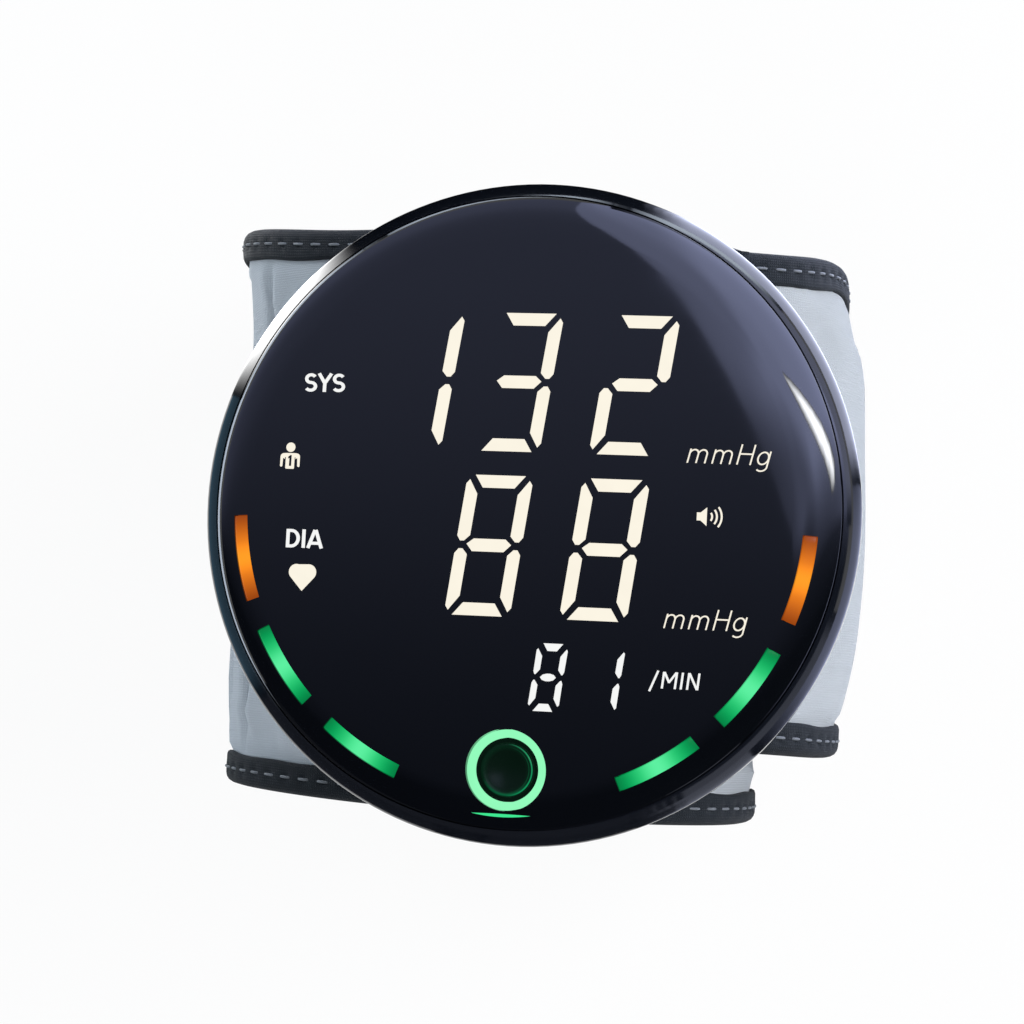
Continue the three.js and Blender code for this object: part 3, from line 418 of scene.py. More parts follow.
cool_white = (0.75, 0.8, 1.0)
floor_cards = [
    # name, first and last angle, soft ends, nearest radius and height in metres, strength, colour
    ("black_card_top", 62, 140, 6, 0.085, 0.002, 0.0, cool_white),
    ("dim_card_left", 150, 208, 6, 0.15, 0.002, 0.5, (0.35, 0.7, 1.0)),
    ("dim_card_lower_left", 204, 256, 6, 0.15, 0.001, 0.08, cool_white),
    ("dim_card_below", 246, 296, 10, 0.12, 0.001, 0.08, cool_white),
    ("pale_card_lower", 284, 356, 14, 0.08, 0.001, 1.2, cool_white),
    ("pale_card_right", -48, 24, 24, 0.06, 0.002, 2.4, (0.62, 0.68, 1.0)),
    ("pale_card_upper", 12, 82, 10, 0.06, 0.003, 6.5, (0.7, 0.75, 1.0)),
]
for name, first, last, soft_ends, near_radius, height, strength, colour in floor_cards:
    low_card(name, first, last, soft_ends, floor_profile(near_radius, height), strength, colour)
white_profile = [(0.08, 0.003, 0.6), (0.3, 0.003, 1), (0.6, 0.01, 1), (0.68, 0.1, 1)]
low_card("white_card_left", 131, 160, 12, white_profile, 16.0)
line_cards = [
    # name, first and last angle, soft ends, radius, lowest and highest point in metres, strength, colour
    ("line_card_left", 126, 212, 12, 1.5, 0.1, 0.24, 9.0, (0.75, 0.85, 1.0)),
    ("line_card_top", 84, 132, 12, 1.5, 0.1, 0.24, 7.0, (0.75, 0.85, 1.0)),
    ("line_card_right", 50, 88, 12, 1.5, 0.1, 0.24, 8.0, (0.75, 0.85, 1.0)),
    ("line_card_below", 206, 296, 8, 1.6, 0.09, 0.46, 0.12, cool_white),
    ("line_card_lower", 284, 346, 8, 1.6, 0.09, 0.46, 0.9, cool_white),
    ("line_card_upper", 4, 88, 10, 1.6, 0.22, 0.46, 2.4, (0.66, 0.71, 1.0)),
]
for name, first, last, soft_ends, radius, low, high, strength, colour in line_cards:
    low_card(name, first, last, soft_ends, [(radius, low, 1), (radius, high, 1)], strength, colour)

# %% [markdown]
# Finishes are node materials. Each one starts from a Principled shader whose even values are set on its
# own sockets, and noise adds what the eye expects at close range: a little cloudiness in the polish, the
# fine grain of moulded plastic, or the threads of a cloth.

# %% Helpers for finishes


def noise(tree, scale, detail=3.0, stretch=(1, 1, 1)):
    """Cloudy values about 0.5; scale counts the clouds in a metre."""
    coordinates = tree.nodes.new("ShaderNodeTexCoord")
    mapping = tree.nodes.new("ShaderNodeMapping")
    mapping.inputs["Scale"].default_value = stretch
    link(tree, coordinates.outputs["Object"], mapping.inputs["Vector"])
    texture = tree.nodes.new("ShaderNodeTexNoise")
    texture.inputs["Scale"].default_value = scale
    texture.inputs["Detail"].default_value = detail
    link(tree, mapping.outputs[0], texture.inputs["Vector"])
    return texture.outputs["Fac"]


def spread(tree, value, low, high):
    """Turns a noise value into a range of numbers."""
    node = tree.nodes.new("ShaderNodeMapRange")
    node.inputs["From Min"].default_value = 0.3
    node.inputs["From Max"].default_value = 0.7
    node.inputs["To Min"].default_value = low
    node.inputs["To Max"].default_value = high
    link(tree, value, node.inputs["Value"])
    return node.outputs[0]


def two_tone(tree, value, first, second):
    """Mixes two colours by a value from 0 to 1."""
    node = tree.nodes.new("ShaderNodeMix")
    node.data_type = "RGBA"
    node.inputs["A"].default_value = (*first, 1)
    node.inputs["B"].default_value = (*second, 1)
    link(tree, value, node.inputs["Factor"])
    return node.outputs["Result"]


def bump(tree, value, strength, distance):
    node = tree.nodes.new("ShaderNodeBump")
    node.inputs["Strength"].default_value = strength
    node.inputs["Distance"].default_value = distance
    link(tree, value, node.inputs["Height"])
    return node.outputs[0]


def principled(name):
    material, tree = new_material(name)
    shader = tree.nodes.new("ShaderNodeBsdfPrincipled")
    output = tree.nodes.new("ShaderNodeOutputMaterial")
    link(tree, shader.outputs[0], output.inputs["Surface"])
    return material, tree, shader


def darker(colour, share):
    return tuple(channel * share for channel in colour)


print("Helpers for finishes are ready")

# %% [markdown]
# Three families of hard finish come from one pattern. Moulded plastic has a fine grain that dulls it,
# polished plastic mirrors almost cleanly, and drawn metal has fine lines along the way it was drawn.
# Each is a function, so a name, a colour and a roughness are enough to ask for one more.

# %% Plastics and metal


def moulded(name, colour, roughness, grain=0.12):
    """Plastic from a mould: fine grain, and a slight change of gloss over the surface."""
    material, tree, shader = principled(name)
    clouds = noise(tree, 90.0)
    link(tree, two_tone(tree, clouds, darker(colour, 0.88), darker(colour, 1.1)), shader.inputs["Base Color"])
    link(tree, spread(tree, clouds, roughness * 0.85, roughness * 1.15), shader.inputs["Roughness"])
    link(tree, bump(tree, noise(tree, 4200.0), grain, 0.00005), shader.inputs["Normal"])
    return material


def polished(name, colour, roughness):
    """Polished plastic: it mirrors, and faint clouds stand for a wiped surface."""
    material, tree, shader = principled(name)
    tint = two_tone(tree, noise(tree, 45.0, 2.0), darker(colour, 0.85), darker(colour, 1.15))
    dullness = spread(tree, noise(tree, 120.0, 4.0), roughness * 0.8, roughness * 1.3)
    link(tree, tint, shader.inputs["Base Color"])
    link(tree, dullness, shader.inputs["Roughness"])
    return material


def metal(name, colour, roughness, stretch=(1, 1, 12)):
    """Drawn or turned metal: fine lines in one direction."""
    material, tree, shader = principled(name)
    lines = noise(tree, 900.0, 2.0, stretch)
    shader.inputs["Metallic"].default_value = 1.0
    link(tree, two_tone(tree, lines, darker(colour, 0.85), colour), shader.inputs["Base Color"])
    link(tree, spread(tree, lines, roughness * 0.75, roughness * 1.3), shader.inputs["Roughness"])
    link(tree, bump(tree, lines, 0.08, 0.00005), shader.inputs["Normal"])
    return material


print("Plastics and metal can be made")

# %% [markdown]
# Cloth needs threads. Every swept strip of cloth below carries a map of its own, in millimetres along
# and across the strip, so two crossing waves of that map make a weave that follows the cloth round its
# loop. The noise above it is the nap, and the broad clouds are where the cloth has been rubbed in use.

# %% Cloth finishes
cloth_map = "cloth_mm"
wave_turn = 0.314


def wave_of(tree, vector, direction, pitch):
    """Even bands across a direction of the map; 20 units of the texture make a full turn."""
    texture = tree.nodes.new("ShaderNodeTexWave")
    texture.bands_direction = direction
    texture.inputs["Scale"].default_value = wave_turn / pitch
    link(tree, vector, texture.inputs["Vector"])
    return texture.outputs["Fac"]


def maths(tree, operation, first, second):
    node = tree.nodes.new("ShaderNodeMath")
    node.operation = operation
    for socket, value in zip(node.inputs, (first, second)):
        if isinstance(value, (int, float)):
            socket.default_value = value
        else:
            link(tree, value, socket)
    return node.outputs[0]


def cloth(name, colour, thread_pitch, roughness=0.85, sheen=0.3, relief=0.5, nap=0.5, contrast=0.12):
    """thread_pitch is in mm; relief is the depth of the weave, nap the share of fuzz over it."""
    material, tree, shader = principled(name)
    chart = tree.nodes.new("ShaderNodeUVMap")
    chart.uv_map = cloth_map
    along = wave_of(tree, chart.outputs[0], "X", thread_pitch)
    across = wave_of(tree, chart.outputs[0], "Y", thread_pitch)
    weave = maths(tree, "MULTIPLY", along, across)
    fuzz = noise(tree, 2600.0, 4.0)
    rubbed = noise(tree, 60.0, 3.0)
    height = maths(tree, "ADD", weave, maths(tree, "MULTIPLY", fuzz, nap))
    tone = maths(tree, "ADD", maths(tree, "MULTIPLY", weave, 0.5), maths(tree, "MULTIPLY", rubbed, 0.6))
    tint = two_tone(tree, tone, darker(colour, 1 - contrast), darker(colour, 1 + contrast * 0.6))
    link(tree, tint, shader.inputs["Base Color"])
    link(tree, spread(tree, fuzz, roughness * 0.92, min(roughness * 1.08, 1.0)), shader.inputs["Roughness"])
    link(tree, bump(tree, height, relief, 0.00008), shader.inputs["Normal"])
    shader.inputs["Specular IOR Level"].default_value = 0.12
    shader.inputs["Sheen Weight"].default_value = sheen
    shader.inputs["Sheen Roughness"].default_value = 0.45
    return material


print("Cloth finishes read the map", cloth_map)

# %% [markdown]
# The record of the object names one slot for each finish. The table makes them all: the two glosses of
# the dial, the mouldings and metals inside, and the four cloths of the cuff.

# %% Finishes of the record
finishes = {
    "gloss_window": polished("gloss_window", (0.0015, 0.002, 0.003), 0.045),
    "case_gloss": polished("case_gloss", (0.004, 0.005, 0.008), 0.07),
    "inner_black": moulded("inner_black", (0.012, 0.012, 0.014), 0.5),
    "white_plastic": moulded("white_plastic", (0.8, 0.79, 0.74), 0.45),
    "board_green": moulded("board_green", (0.03, 0.16, 0.08), 0.4),
    "chip_black": moulded("chip_black", (0.025, 0.025, 0.028), 0.45),
    "battery_blue": moulded("battery_blue", (0.08, 0.16, 0.28), 0.35),
    "clear_silicone": moulded("clear_silicone", (0.72, 0.74, 0.74), 0.4),
    "bare_steel": metal("bare_steel", (0.66, 0.67, 0.69), 0.28),
    "valve_brass": metal("valve_brass", (0.7, 0.52, 0.25), 0.3),
    "cuff_cloth": cloth("cuff_cloth", (0.4, 0.43, 0.47), 0.3, 0.85, 0.1),
    "lining_cloth": cloth("lining_cloth", (0.05, 0.053, 0.06), 0.35, 0.95, 0.4, 0.7, 0.9, 0.25),
    "binding_cloth": cloth("binding_cloth", (0.013, 0.016, 0.019), 0.32, 0.85, 0.04, 0.7, 0.4, 0.25),
    "hook_tape": cloth("hook_tape", (0.02, 0.021, 0.024), 0.9, 0.6, 0.2, 1.0, 0.6, 0.4),
}
print("Finishes:", ", ".join(sorted(finishes)))

# %% [markdown]
# Lit plastic glows of itself. The light windows are brightest over their lamp, in the middle, and fade
# to both ends, so each carries a value that says how far along it a point lies, and a colour ramp reads
# that value. The digits are even, and the ring round the button is even too.

# %% Lit finishes


def lit_even(name, colour):
    """An even light, a little cloudy, in a dark plastic that hardly mirrors."""
    material, tree, shader = principled(name)
    clouds = noise(tree, 400.0)
    tint = two_tone(tree, clouds, darker(colour, 0.93), colour)
    shader.inputs["Base Color"].default_value = (0.002, 0.002, 0.002, 1)
    shader.inputs["Roughness"].default_value = 0.3
    shader.inputs["Specular IOR Level"].default_value = 0.06
    shader.inputs["Emission Strength"].default_value = 1.0
    link(tree, tint, shader.inputs["Emission Color"])
    return material


def lit_fading(name, stops):
    """stops are (place, colour) pairs along the light window, which runs from 0 to 1."""
    material, tree, shader = principled(name)
    place_along = tree.nodes.new("ShaderNodeAttribute")
    place_along.attribute_name = "along"
    ramp = tree.nodes.new("ShaderNodeValToRGB")
    ramp.color_ramp.interpolation = "B_SPLINE"
    elements = ramp.color_ramp.elements
    while len(elements) < len(stops):
        elements.new(0.5)
    for element, (position, colour) in zip(elements, stops):
        element.position = position
        element.color = (*colour, 1)
    link(tree, place_along.outputs["Fac"], ramp.inputs["Fac"])
    shader.inputs["Base Color"].default_value = (0.002, 0.002, 0.002, 1)
    shader.inputs["Roughness"].default_value = 0.25
    shader.inputs["Specular IOR Level"].default_value = 0.06
    shader.inputs["Emission Strength"].default_value = 1.0
    link(tree, ramp.outputs["Color"], shader.inputs["Emission Color"])
    return material


green_low, green_middle, green_high = (0.0, 0.14, 0.035), (0.0, 0.62, 0.16), (0.16, 1.0, 0.45)
orange_low, orange_middle, orange_high = (0.22, 0.03, 0.003), (0.85, 0.2, 0.01), (1.3, 0.42, 0.02)
finishes["green_light"] = lit_fading("green_light", [
    (0.0, green_low), (0.28, green_middle), (0.5, green_high), (0.72, green_middle), (1.0, green_low)])
finishes["orange_light"] = lit_fading("orange_light", [
    (0.0, orange_low), (0.3, orange_middle), (0.5, orange_high), (0.7, orange_middle), (1.0, orange_low)])
finishes["ring_light"] = lit_even("ring_light", (0.3, 1.0, 0.52))
finishes["digit_light"] = lit_even("digit_light", (1.0, 0.94, 0.8))
# painted light: the ring's green gleam at the window's edge, below the button, glows of itself
finishes["gleam_light"] = lit_even("gleam_light", (0.05, 0.85, 0.3))
finishes["sign_white"] = lit_even("sign_white", (0.95, 0.96, 0.95))
print("Lit finishes are ready")

# %% [markdown]
# The parts inside the case, and the small metal and rubber parts, are right as CAD solids. They only
# get their finish here, one node material for each slot of the record. One of them gives way when the
# object works: the plunger of the valve presses its spring. Here the spring only gets a mesh of its own.

# %% Finishes for the CAD parts
slot_of = {part["node"]: part["material_slot"] for part in frame["record"]["subparts"]}
for node, item in frame["nodes"].items():
    if not item.data.materials:
        item.data.materials.append(None)
    for material_slot in item.material_slots:
        material_slot.link = "OBJECT"
        material_slot.material = finishes[slot_of[node]]
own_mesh(frame["nodes"]["valve_spring"])
print(len(frame["nodes"]), "CAD parts have a finish")

# %% [markdown]
# Every dressed piece is a mesh built from points. One helper turns points and faces into an object, in
# millimetres at first and in metres once made, turns its faces outwards, smooths it below a chosen
# angle, and says which CAD parts it stands for and which body carries it.

# %% Helpers for pieces


def make_mesh(name, points, faces, material, crease=35.0):
    """An object from points in mm; edges that bend by more than crease degrees stay sharp."""
    mesh = bpy.data.meshes.new(name)
    mesh.from_pydata([tuple(value * mm for value in point) for point in points], [], faces)
    editable = bmesh.new()
    editable.from_mesh(mesh)
    bmesh.ops.recalc_face_normals(editable, faces=editable.faces)
    editable.to_mesh(mesh)
    editable.free()
    mesh.materials.append(material)
    finish_shading(mesh, crease)
    item = bpy.data.objects.new(name, mesh)
    scene.collection.objects.link(item)
    return item


def finish_shading(mesh, crease):
    for polygon in mesh.polygons:
        polygon.use_smooth = True
    mesh.set_sharp_from_angle(angle=math.radians(crease))


def carry(item, body, slot, *nodes):
    """Says which body carries a piece and which nodes it stands for; slot is not used."""
    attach(item, body)
    if nodes:
        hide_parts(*nodes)
    return item


print("Pieces can be made and carried")

# %% [markdown]
# Much of the case is round, so a turned outline gives it exactly and with few faces. Corners of real
# mouldings are never sharp, so another helper rounds the corners of an outline before it is turned.
# Holes are cut by exact booleans, and the cutting bodies are removed afterwards.

# %% Turned outlines, rounded corners and holes


def turned(profile, steps, centre=(0.0, 0.0)):
    """Points and faces of a closed [radius, height] outline turned about an upright line."""
    rings, points = [], []
    for radius, height in profile:
        if radius < 1e-6:
            rings.append([len(points)])
            points.append((centre[0], centre[1], height))
            continue
        rings.append(list(range(len(points), len(points) + steps)))
        for i in range(steps):
            angle = 2 * math.pi * i / steps
            x, y = centre[0] + radius * math.cos(angle), centre[1] + radius * math.sin(angle)
            points.append((x, y, height))
    faces = []
    for low, high in zip(rings, rings[1:] + rings[:1]):
        if len(low) == 1 and len(high) == 1:
            continue
        for i in range(steps):
            j = (i + 1) % steps
            if len(low) == 1:
                faces.append((low[0], high[j], high[i]))
            elif len(high) == 1:
                faces.append((low[i], low[j], high[0]))
            else:
                faces.append((low[i], low[j], high[j], high[i]))
    return points, faces


def rounded(corners, steps=4):
    """Softens the corners of an open line; each corner is (x, y, how far the rounding reaches)."""
    line = []
    for i, (x, y, reach) in enumerate(corners):
        if reach <= 0 or i in (0, len(corners) - 1):
            line.append((x, y))
            continue
        here = Vector((x, y))
        before = Vector(corners[i - 1][:2])
        after = Vector(corners[i + 1][:2])
        start = here + (before - here).normalized() * reach
        end = here + (after - here).normalized() * reach
        for k in range(steps + 1):
            t = k / steps
            point = start * (1 - t) ** 2 + here * 2 * t * (1 - t) + end * t ** 2
            line.append((point.x, point.y))
    return line


def cut_out(item, cutters):
    """Cuts closed meshes out of a piece, then removes them."""
    for cutter in cutters:
        modifier = item.modifiers.new("cut", "BOOLEAN")
        modifier.operation = "DIFFERENCE"
        modifier.solver = "EXACT"
        modifier.object = cutter
        with bpy.context.temp_override(object=item, active_object=item):
            bpy.ops.object.modifier_apply(modifier=modifier.name)
    for cutter in cutters:
        mesh = cutter.data
        bpy.data.objects.remove(cutter)
        bpy.data.meshes.remove(mesh)


print("Outlines can be turned, rounded and cut")

# %% [markdown]
# The window is one thick dark lens: a shallow dome whose rim falls away like a pebble's. A grid with a
# displacement could come near that, but a turned outline gives the dome and its thin edge exactly.

# %% Front window
round_steps = 160
window_floor = case_base + 19.4
window_thickness = 2.0
window_edge_drop = 0.12
window_rear_radius = 32.6
face_radii = [window_radius * i / 34 for i in range(34)] + [window_radius - 0.25, window_radius - 0.08]
face_line = [(radius, dome_height(radius)) for radius in face_radii]
edge_line = [(window_radius, dome_height(window_radius) - window_edge_drop), (window_radius, window_floor)]
rear_radii = (window_rear_radius, 24.0, 12.0, 0.0)
rear_line = [(radius, dome_height(radius) - window_thickness) for radius in rear_radii]
outline = face_line + edge_line + [(window_rear_radius, window_floor)] + rear_line
window = make_mesh("front_window", *turned(outline, round_steps), finishes["gloss_window"], 50)
print("Window blank:", len(window.data.polygons), "faces")

# %% [markdown]
# The button and six bars of light pass through the lens, so it gets real holes: a round one, and six
# slots bent along the rim, each a hair wider than the bar that fills it. A prism of each outline is
# taken out of the lens.

# %% Holes in the window


def prism(name, outline_points, low, high):
    """An upright body with a flat outline, from one height to another."""
    count = len(outline_points)
    points = [(x, y, low) for x, y in outline_points] + [(x, y, high) for x, y in outline_points]
    faces = [tuple(range(count))[::-1], tuple(range(count, 2 * count))]
    faces += [(i, (i + 1) % count, (i + 1) % count + count, i + count) for i in range(count)]
    return make_mesh(name, points, faces, finishes["gloss_window"])


def arc_outline(middle, growth, steps=18):
    """Outline of a light window about its middle angle, made larger all round by growth."""
    half = math.radians(guide_span_angle / 2) + growth / guide_inner
    angles = [math.radians(middle) - half + 2 * half * i / steps for i in range(steps + 1)]
    outer = guide_inner + guide_width + growth
    inner = guide_inner - growth
    outer_arc = [(outer * math.cos(a), outer * math.sin(a)) for a in angles]
    inner_arc = [(inner * math.cos(a), inner * math.sin(a)) for a in reversed(angles)]
    return outer_arc + inner_arc


guides = []
for number in (1, 2, 3):
    down = guide_first_angle + (number - 1) * guide_pitch_angle
    slot = "orange_light" if number == 1 else "green_light"
    guides.append((f"light_guide_right_{number}", -down, slot))
    guides.append((f"light_guide_left_{number}", 180 + down, slot))

slot_gap = 0.08
hole_radius = 4.33
hole = [(hole_radius * math.cos(a), button_y + hole_radius * math.sin(a))
        for a in np.linspace(0, 2 * math.pi, 97)[:-1]]
cut_low, cut_high = window_floor - 5, case_base + crown_height + 2
cutters = [prism("window_cut", hole, cut_low, cut_high)]
for name, angle, slot in guides:
    cutters.append(prism("window_cut", arc_outline(angle, slot_gap), cut_low, cut_high))
cut_out(window, cutters)
print("Window with", len(cutters), "holes:", len(window.data.polygons), "faces")

# %% [markdown]
# Cutting leaves long thin faces round the holes, and their shading would show as dents in the mirror
# image. So the true direction of the dome is written on every corner of the face.

# %% Clean mirror image on the dome


def write_dome_normals(mesh):
    """Gives each corner on the dome's face the direction of the true dome."""
    step = 0.01
    normals = []
    for polygon in mesh.polygons:
        centre = polygon.center / mm
        facing = polygon.normal.z > 0.5 and centre.z > window_floor + 0.6
        for loop_index in polygon.loop_indices:
            point = mesh.vertices[mesh.loops[loop_index].vertex_index].co / mm
            radius = math.hypot(point.x, point.y)
            if not facing or radius < 1e-6:
                normals.append((0, 0, 1) if facing else (0, 0, 0))
                continue
            slope = (dome_height(radius - step) - dome_height(radius + step)) / (2 * step)
            normal = Vector((slope * point.x / radius, slope * point.y / radius, 1)).normalized()
            normals.append(tuple(normal))
    mesh.normals_split_custom_set(normals)


finish_shading(window.data, 50)
write_dome_normals(window.data)
carry(window, "monitor", "gloss_window", "display_window")
print("Window normals written:", len(window.data.loops))

# %% [markdown]
# The case is two polished bowls that meet at a fine parting line. The upper one, the ring, swells to
# the rim and draws in to a thin lip round the window. The lip is a smooth curve between two directions,
# upright at the rim and flat at the window, as a soft bend in thick plastic is.

# %% Case ring
parting_bevel = 0.12
rim_top_height = case_base + rim_height
lip_height = dome_height(window_radius) - window_edge_drop
lip_bend_height = lip_height - 1.36
lip_edge = 0.05
seat_radius, seat_height, seat_foot = 33.0, 77.25, 76.25
ring_heights = np.linspace(parting_height + parting_bevel, rim_height, 26)
wall_line = [(case_radius_at(h), case_base + h) for h in ring_heights]
lip_line = []
for t in np.linspace(0.05, 1, 20):
    along_rim, bend, along_seam = (1 - t) ** 2, 2 * t * (1 - t), t ** 2
    radius = case_radius * (along_rim + bend) + seam_radius * along_seam
    height = rim_top_height * along_rim + lip_bend_height * bend + lip_height * along_seam
    lip_line.append((radius, height))
lip_line.append((seam_radius - lip_edge, lip_height - 0.08))
inside_line = [(seam_radius - lip_edge, seat_height), (seat_radius, seat_height), (seat_radius, seat_foot)]
inside_heights = np.linspace(rim_height, parting_height, 10)
inside_line += [(case_radius_at(h) - case_wall, case_base + h) for h in inside_heights]
foot_line = [(case_radius_at(parting_height) - parting_bevel, case_base + parting_height)]
ring = make_mesh("case_shell_ring", *turned(wall_line + lip_line + inside_line + foot_line, round_steps),
                 finishes["case_gloss"], 50)
print("Case ring blank:", len(ring.data.polygons), "faces")

# %% [markdown]
# The charging plug goes in on the +Y side. Its slot follows the shell of the socket, found from the
# frame, with a small gap all round and round corners.

# %% Slot for the charging plug
slot_margin = 0.4
slot_low, slot_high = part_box("charging_socket")
slot_centre = ((slot_low.x + slot_high.x) / 2 / mm, (slot_low.z + slot_high.z) / 2 / mm)
slot_half = [(high - low) / 2 / mm + slot_margin
             for low, high in ((slot_low.x, slot_high.x), (slot_low.z, slot_high.z))]
slot_round = 1.4
slot_outline = []
for quarter, (sx, sz) in enumerate([(1, 1), (-1, 1), (-1, -1), (1, -1)]):
    for k in range(7):
        angle = math.pi / 2 * (quarter + k / 6)
        x = slot_centre[0] + sx * (slot_half[0] - slot_round) + slot_round * math.cos(angle)
        z = slot_centre[1] + sz * (slot_half[1] - slot_round) + slot_round * math.sin(angle)
        slot_outline.append((x, z))
count = len(slot_outline)
points = [(x, y, z) for y in (case_back_radius, case_radius + 2) for x, z in slot_outline]
faces = [tuple(range(count)), tuple(range(count, 2 * count))[::-1]]
faces += [(i, (i + 1) % count, (i + 1) % count + count, i + count) for i in range(count)]
cut_out(ring, [make_mesh("slot_cut", points, faces, finishes["case_gloss"])])
finish_shading(ring.data, 40)
carry(ring, "monitor", "case_gloss", "case_ring")
print("Case ring with its slot:", len(ring.data.polygons), "faces")

# %% [markdown]
# The back is the shallow lower bowl. It is turned too, then four deep screw holes and the hole for the
# air port are cut through its floor.

# %% Back cover
port = (-9.0, 1.2)
port_hole_radius = 2.1
screw_circle_radius = 28
screw_hole_radius = 2.2
back_floor = 1.8
bowl_heights = [0.02, 0.08, 0.2, 0.4, 0.7, 1.1, 1.6, 2.2, 2.9, 3.7, 4.6, 5.6, parting_height - 0.27]
bowl_line = [(0.0, case_base), (case_back_radius - 0.5, case_base)]
bowl_line += [(case_radius_at(h), case_base + h) for h in bowl_heights]
bowl_line += [(case_radius_at(parting_height) - 0.14, case_base + parting_height - 0.15)]
hollow_line = [(case_radius_at(h) - case_wall, case_base + h) for h in (6.85, 5.5, 4.0, 2.6, back_floor)]
outline = bowl_line + hollow_line + [(0.0, case_base + back_floor)]
back = make_mesh("case_shell_back", *turned(outline, round_steps), finishes["case_gloss"], 50)


def round_cut(x, y, radius):
    """A round hole through the floor of the back."""
    angles = np.linspace(0, 2 * math.pi, 49)[:-1]
    circle = [(x + radius * math.cos(a), y + radius * math.sin(a)) for a in angles]
    return prism("back_cut", circle, case_base - 2, case_base + 4)


cutters = [round_cut(*port, port_hole_radius)]
for corner in range(4):
    angle = math.radians(45 + 90 * corner)
    cutters.append(round_cut(screw_circle_radius * math.cos(angle), screw_circle_radius * math.sin(angle),
                             screw_hole_radius))
cut_out(back, cutters)
finish_shading(back.data, 40)
carry(back, "monitor", "case_gloss", "back_cover")
print("Back:", len(back.data.polygons), "faces")

# %% [markdown]
# The button sits in a ring of lit plastic, which stands a hair proud of the window. The ring is a turned
# outline with soft edges, and its light is even all round.

# %% Ring of the button
ring_inner, ring_outer = 3.42, 4.27
face = dome_height(abs(button_y) + 4.25)
ring_top = face + 0.12
ring_foot = face - 1.8
ring_line = rounded([
    (ring_inner, ring_foot, 0), (ring_outer, ring_foot, 0), (ring_outer, ring_top, 0.2),
    (ring_inner, ring_top, 0.2), (ring_inner, ring_foot + 0.1, 0)])
button_ring = make_mesh("button_light_ring", *turned(ring_line, 96, (0, button_y)), finishes["ring_light"])
carry(button_ring, "monitor", "green_light", "button_ring")
print("Button face at", round(face, 2), "mm")

# %% [markdown]
# The cap's gloss catches the ring's green: a bright arc on its right shoulder, fainter ones on the wall
# of its dish, and a broad one at the bottom. A mirror image of so small a lamp would be full of noise,
# so this reflection is painted: the arcs glow of themselves, each at a distance from the cap's middle,
# and fade to one side.

# %% Painted reflection on the button


def near(tree, value, middle, half):
    """1 where a value is at its middle, 0 from half away."""
    away = maths(tree, "ABSOLUTE", maths(tree, "SUBTRACT", value, middle), 0)
    return maths(tree, "MAXIMUM", maths(tree, "SUBTRACT", 1, maths(tree, "DIVIDE", away, half)), 0)


def part_of(tree, value, full):
    """0 below nought, 1 from a full value on."""
    return maths(tree, "MINIMUM", maths(tree, "MAXIMUM", maths(tree, "DIVIDE", value, full), 0), 1)


cap_material, tree, shader = principled("button_gloss_painted_reflection")
coordinates = tree.nodes.new("ShaderNodeTexCoord")
reach = tree.nodes.new("ShaderNodeVectorMath")
reach.operation = "DISTANCE"
reach.inputs[1].default_value = (0, button_y * mm, face * mm)
link(tree, coordinates.outputs["Object"], reach.inputs[0])
parts = tree.nodes.new("ShaderNodeSeparateXYZ")
link(tree, coordinates.outputs["Object"], parts.inputs[0])
# how far to the right of the middle, and how far below it, a point lies
to_right = part_of(tree, parts.outputs["X"], 2.2 * mm)
to_bottom = part_of(tree, maths(tree, "SUBTRACT", (button_y - 1) * mm, parts.outputs["Y"]), 1.6 * mm)
painted_reflection_arcs = [
    # each painted reflection arc: radius and half width in mm, brightness, the side where it shows
    (2.72, 0.1, 0.5, to_right), (2.4, 0.07, 0.07, to_right),
    (2.62, 0.22, 0.14, to_bottom), (2.55, 0.5, 0.014, None)]
total = 0.004
for radius, half, share, side in painted_reflection_arcs:
    glow = maths(tree, "MULTIPLY", near(tree, reach.outputs["Value"], radius * mm, half * mm), share)
    total = maths(tree, "ADD", maths(tree, "MULTIPLY", glow, side) if side else glow, total)
# painted reflection: the arcs mix dark into the ring's green, and the cap emits it
link(tree, two_tone(tree, total, (0.0005, 0.002, 0.0012), (0.01, 0.7, 0.25)), shader.inputs["Emission Color"])
link(tree, two_tone(tree, noise(tree, 200.0), (0.0015, 0.003, 0.002), (0.002, 0.004, 0.003)),
     shader.inputs["Base Color"])
shader.inputs["Emission Strength"].default_value = 1.0
shader.inputs["Specular IOR Level"].default_value = 0.05
shader.inputs["Roughness"].default_value = 0.25
print("Green arcs on the cap:", len(painted_reflection_arcs))

# %% [markdown]
# The cap is a shallow dish with a stepped edge, and it keeps its stem, because it slides as one moulding.
# Below it, a soft seal fills the gap to the ring, so that no light comes up beside the cap.

# %% Button cap and seal
dish_radius, dish_depth = 2.4, 0.45
cap_radius = 2.85
cap_foot = face - 2.2
stem_radius = 1.4
stem_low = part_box("button_cap")[0].z / mm
dish = [(dish_radius * i / 12, face - 0.2 - dish_depth * (1 - (i / 12) ** 2) ** 1.5) for i in range(13)]
cap_line = dish + [(2.5, face - 0.15), (2.66, face - 0.14), (2.78, face - 0.2), (cap_radius, face - 0.34)]
cap_line += [(cap_radius, cap_foot), (stem_radius, cap_foot), (stem_radius, stem_low), (0.0, stem_low)]
cap = make_mesh("button_dished_cap", *turned(cap_line, 96, (0, button_y)), cap_material)
carry(cap, "button", "gloss_window", "button_cap")
seal_inner, seal_outer = 2.9, 3.38
seal_low, seal_high = face - 0.75, face - 0.55
seal_line = [(seal_inner, seal_low), (seal_outer, seal_low), (seal_outer, seal_high), (seal_inner, seal_high),
             (seal_inner, seal_low + 0.05)]
seal = make_mesh("button_seal", *turned(seal_line, 96, (0, button_y)), cap_material)
carry(seal, "monitor", "gloss_window")
print("Cap:", len(cap.data.polygons), "faces; seal:", len(seal.data.polygons), "faces")

# %% [markdown]
# Each light window is a curved bar of clear plastic that runs up through the window and ends flush with
# its face. It is swept along its arc, its top follows the dome, and the value "along" is stored on its
# points for the colour ramp.

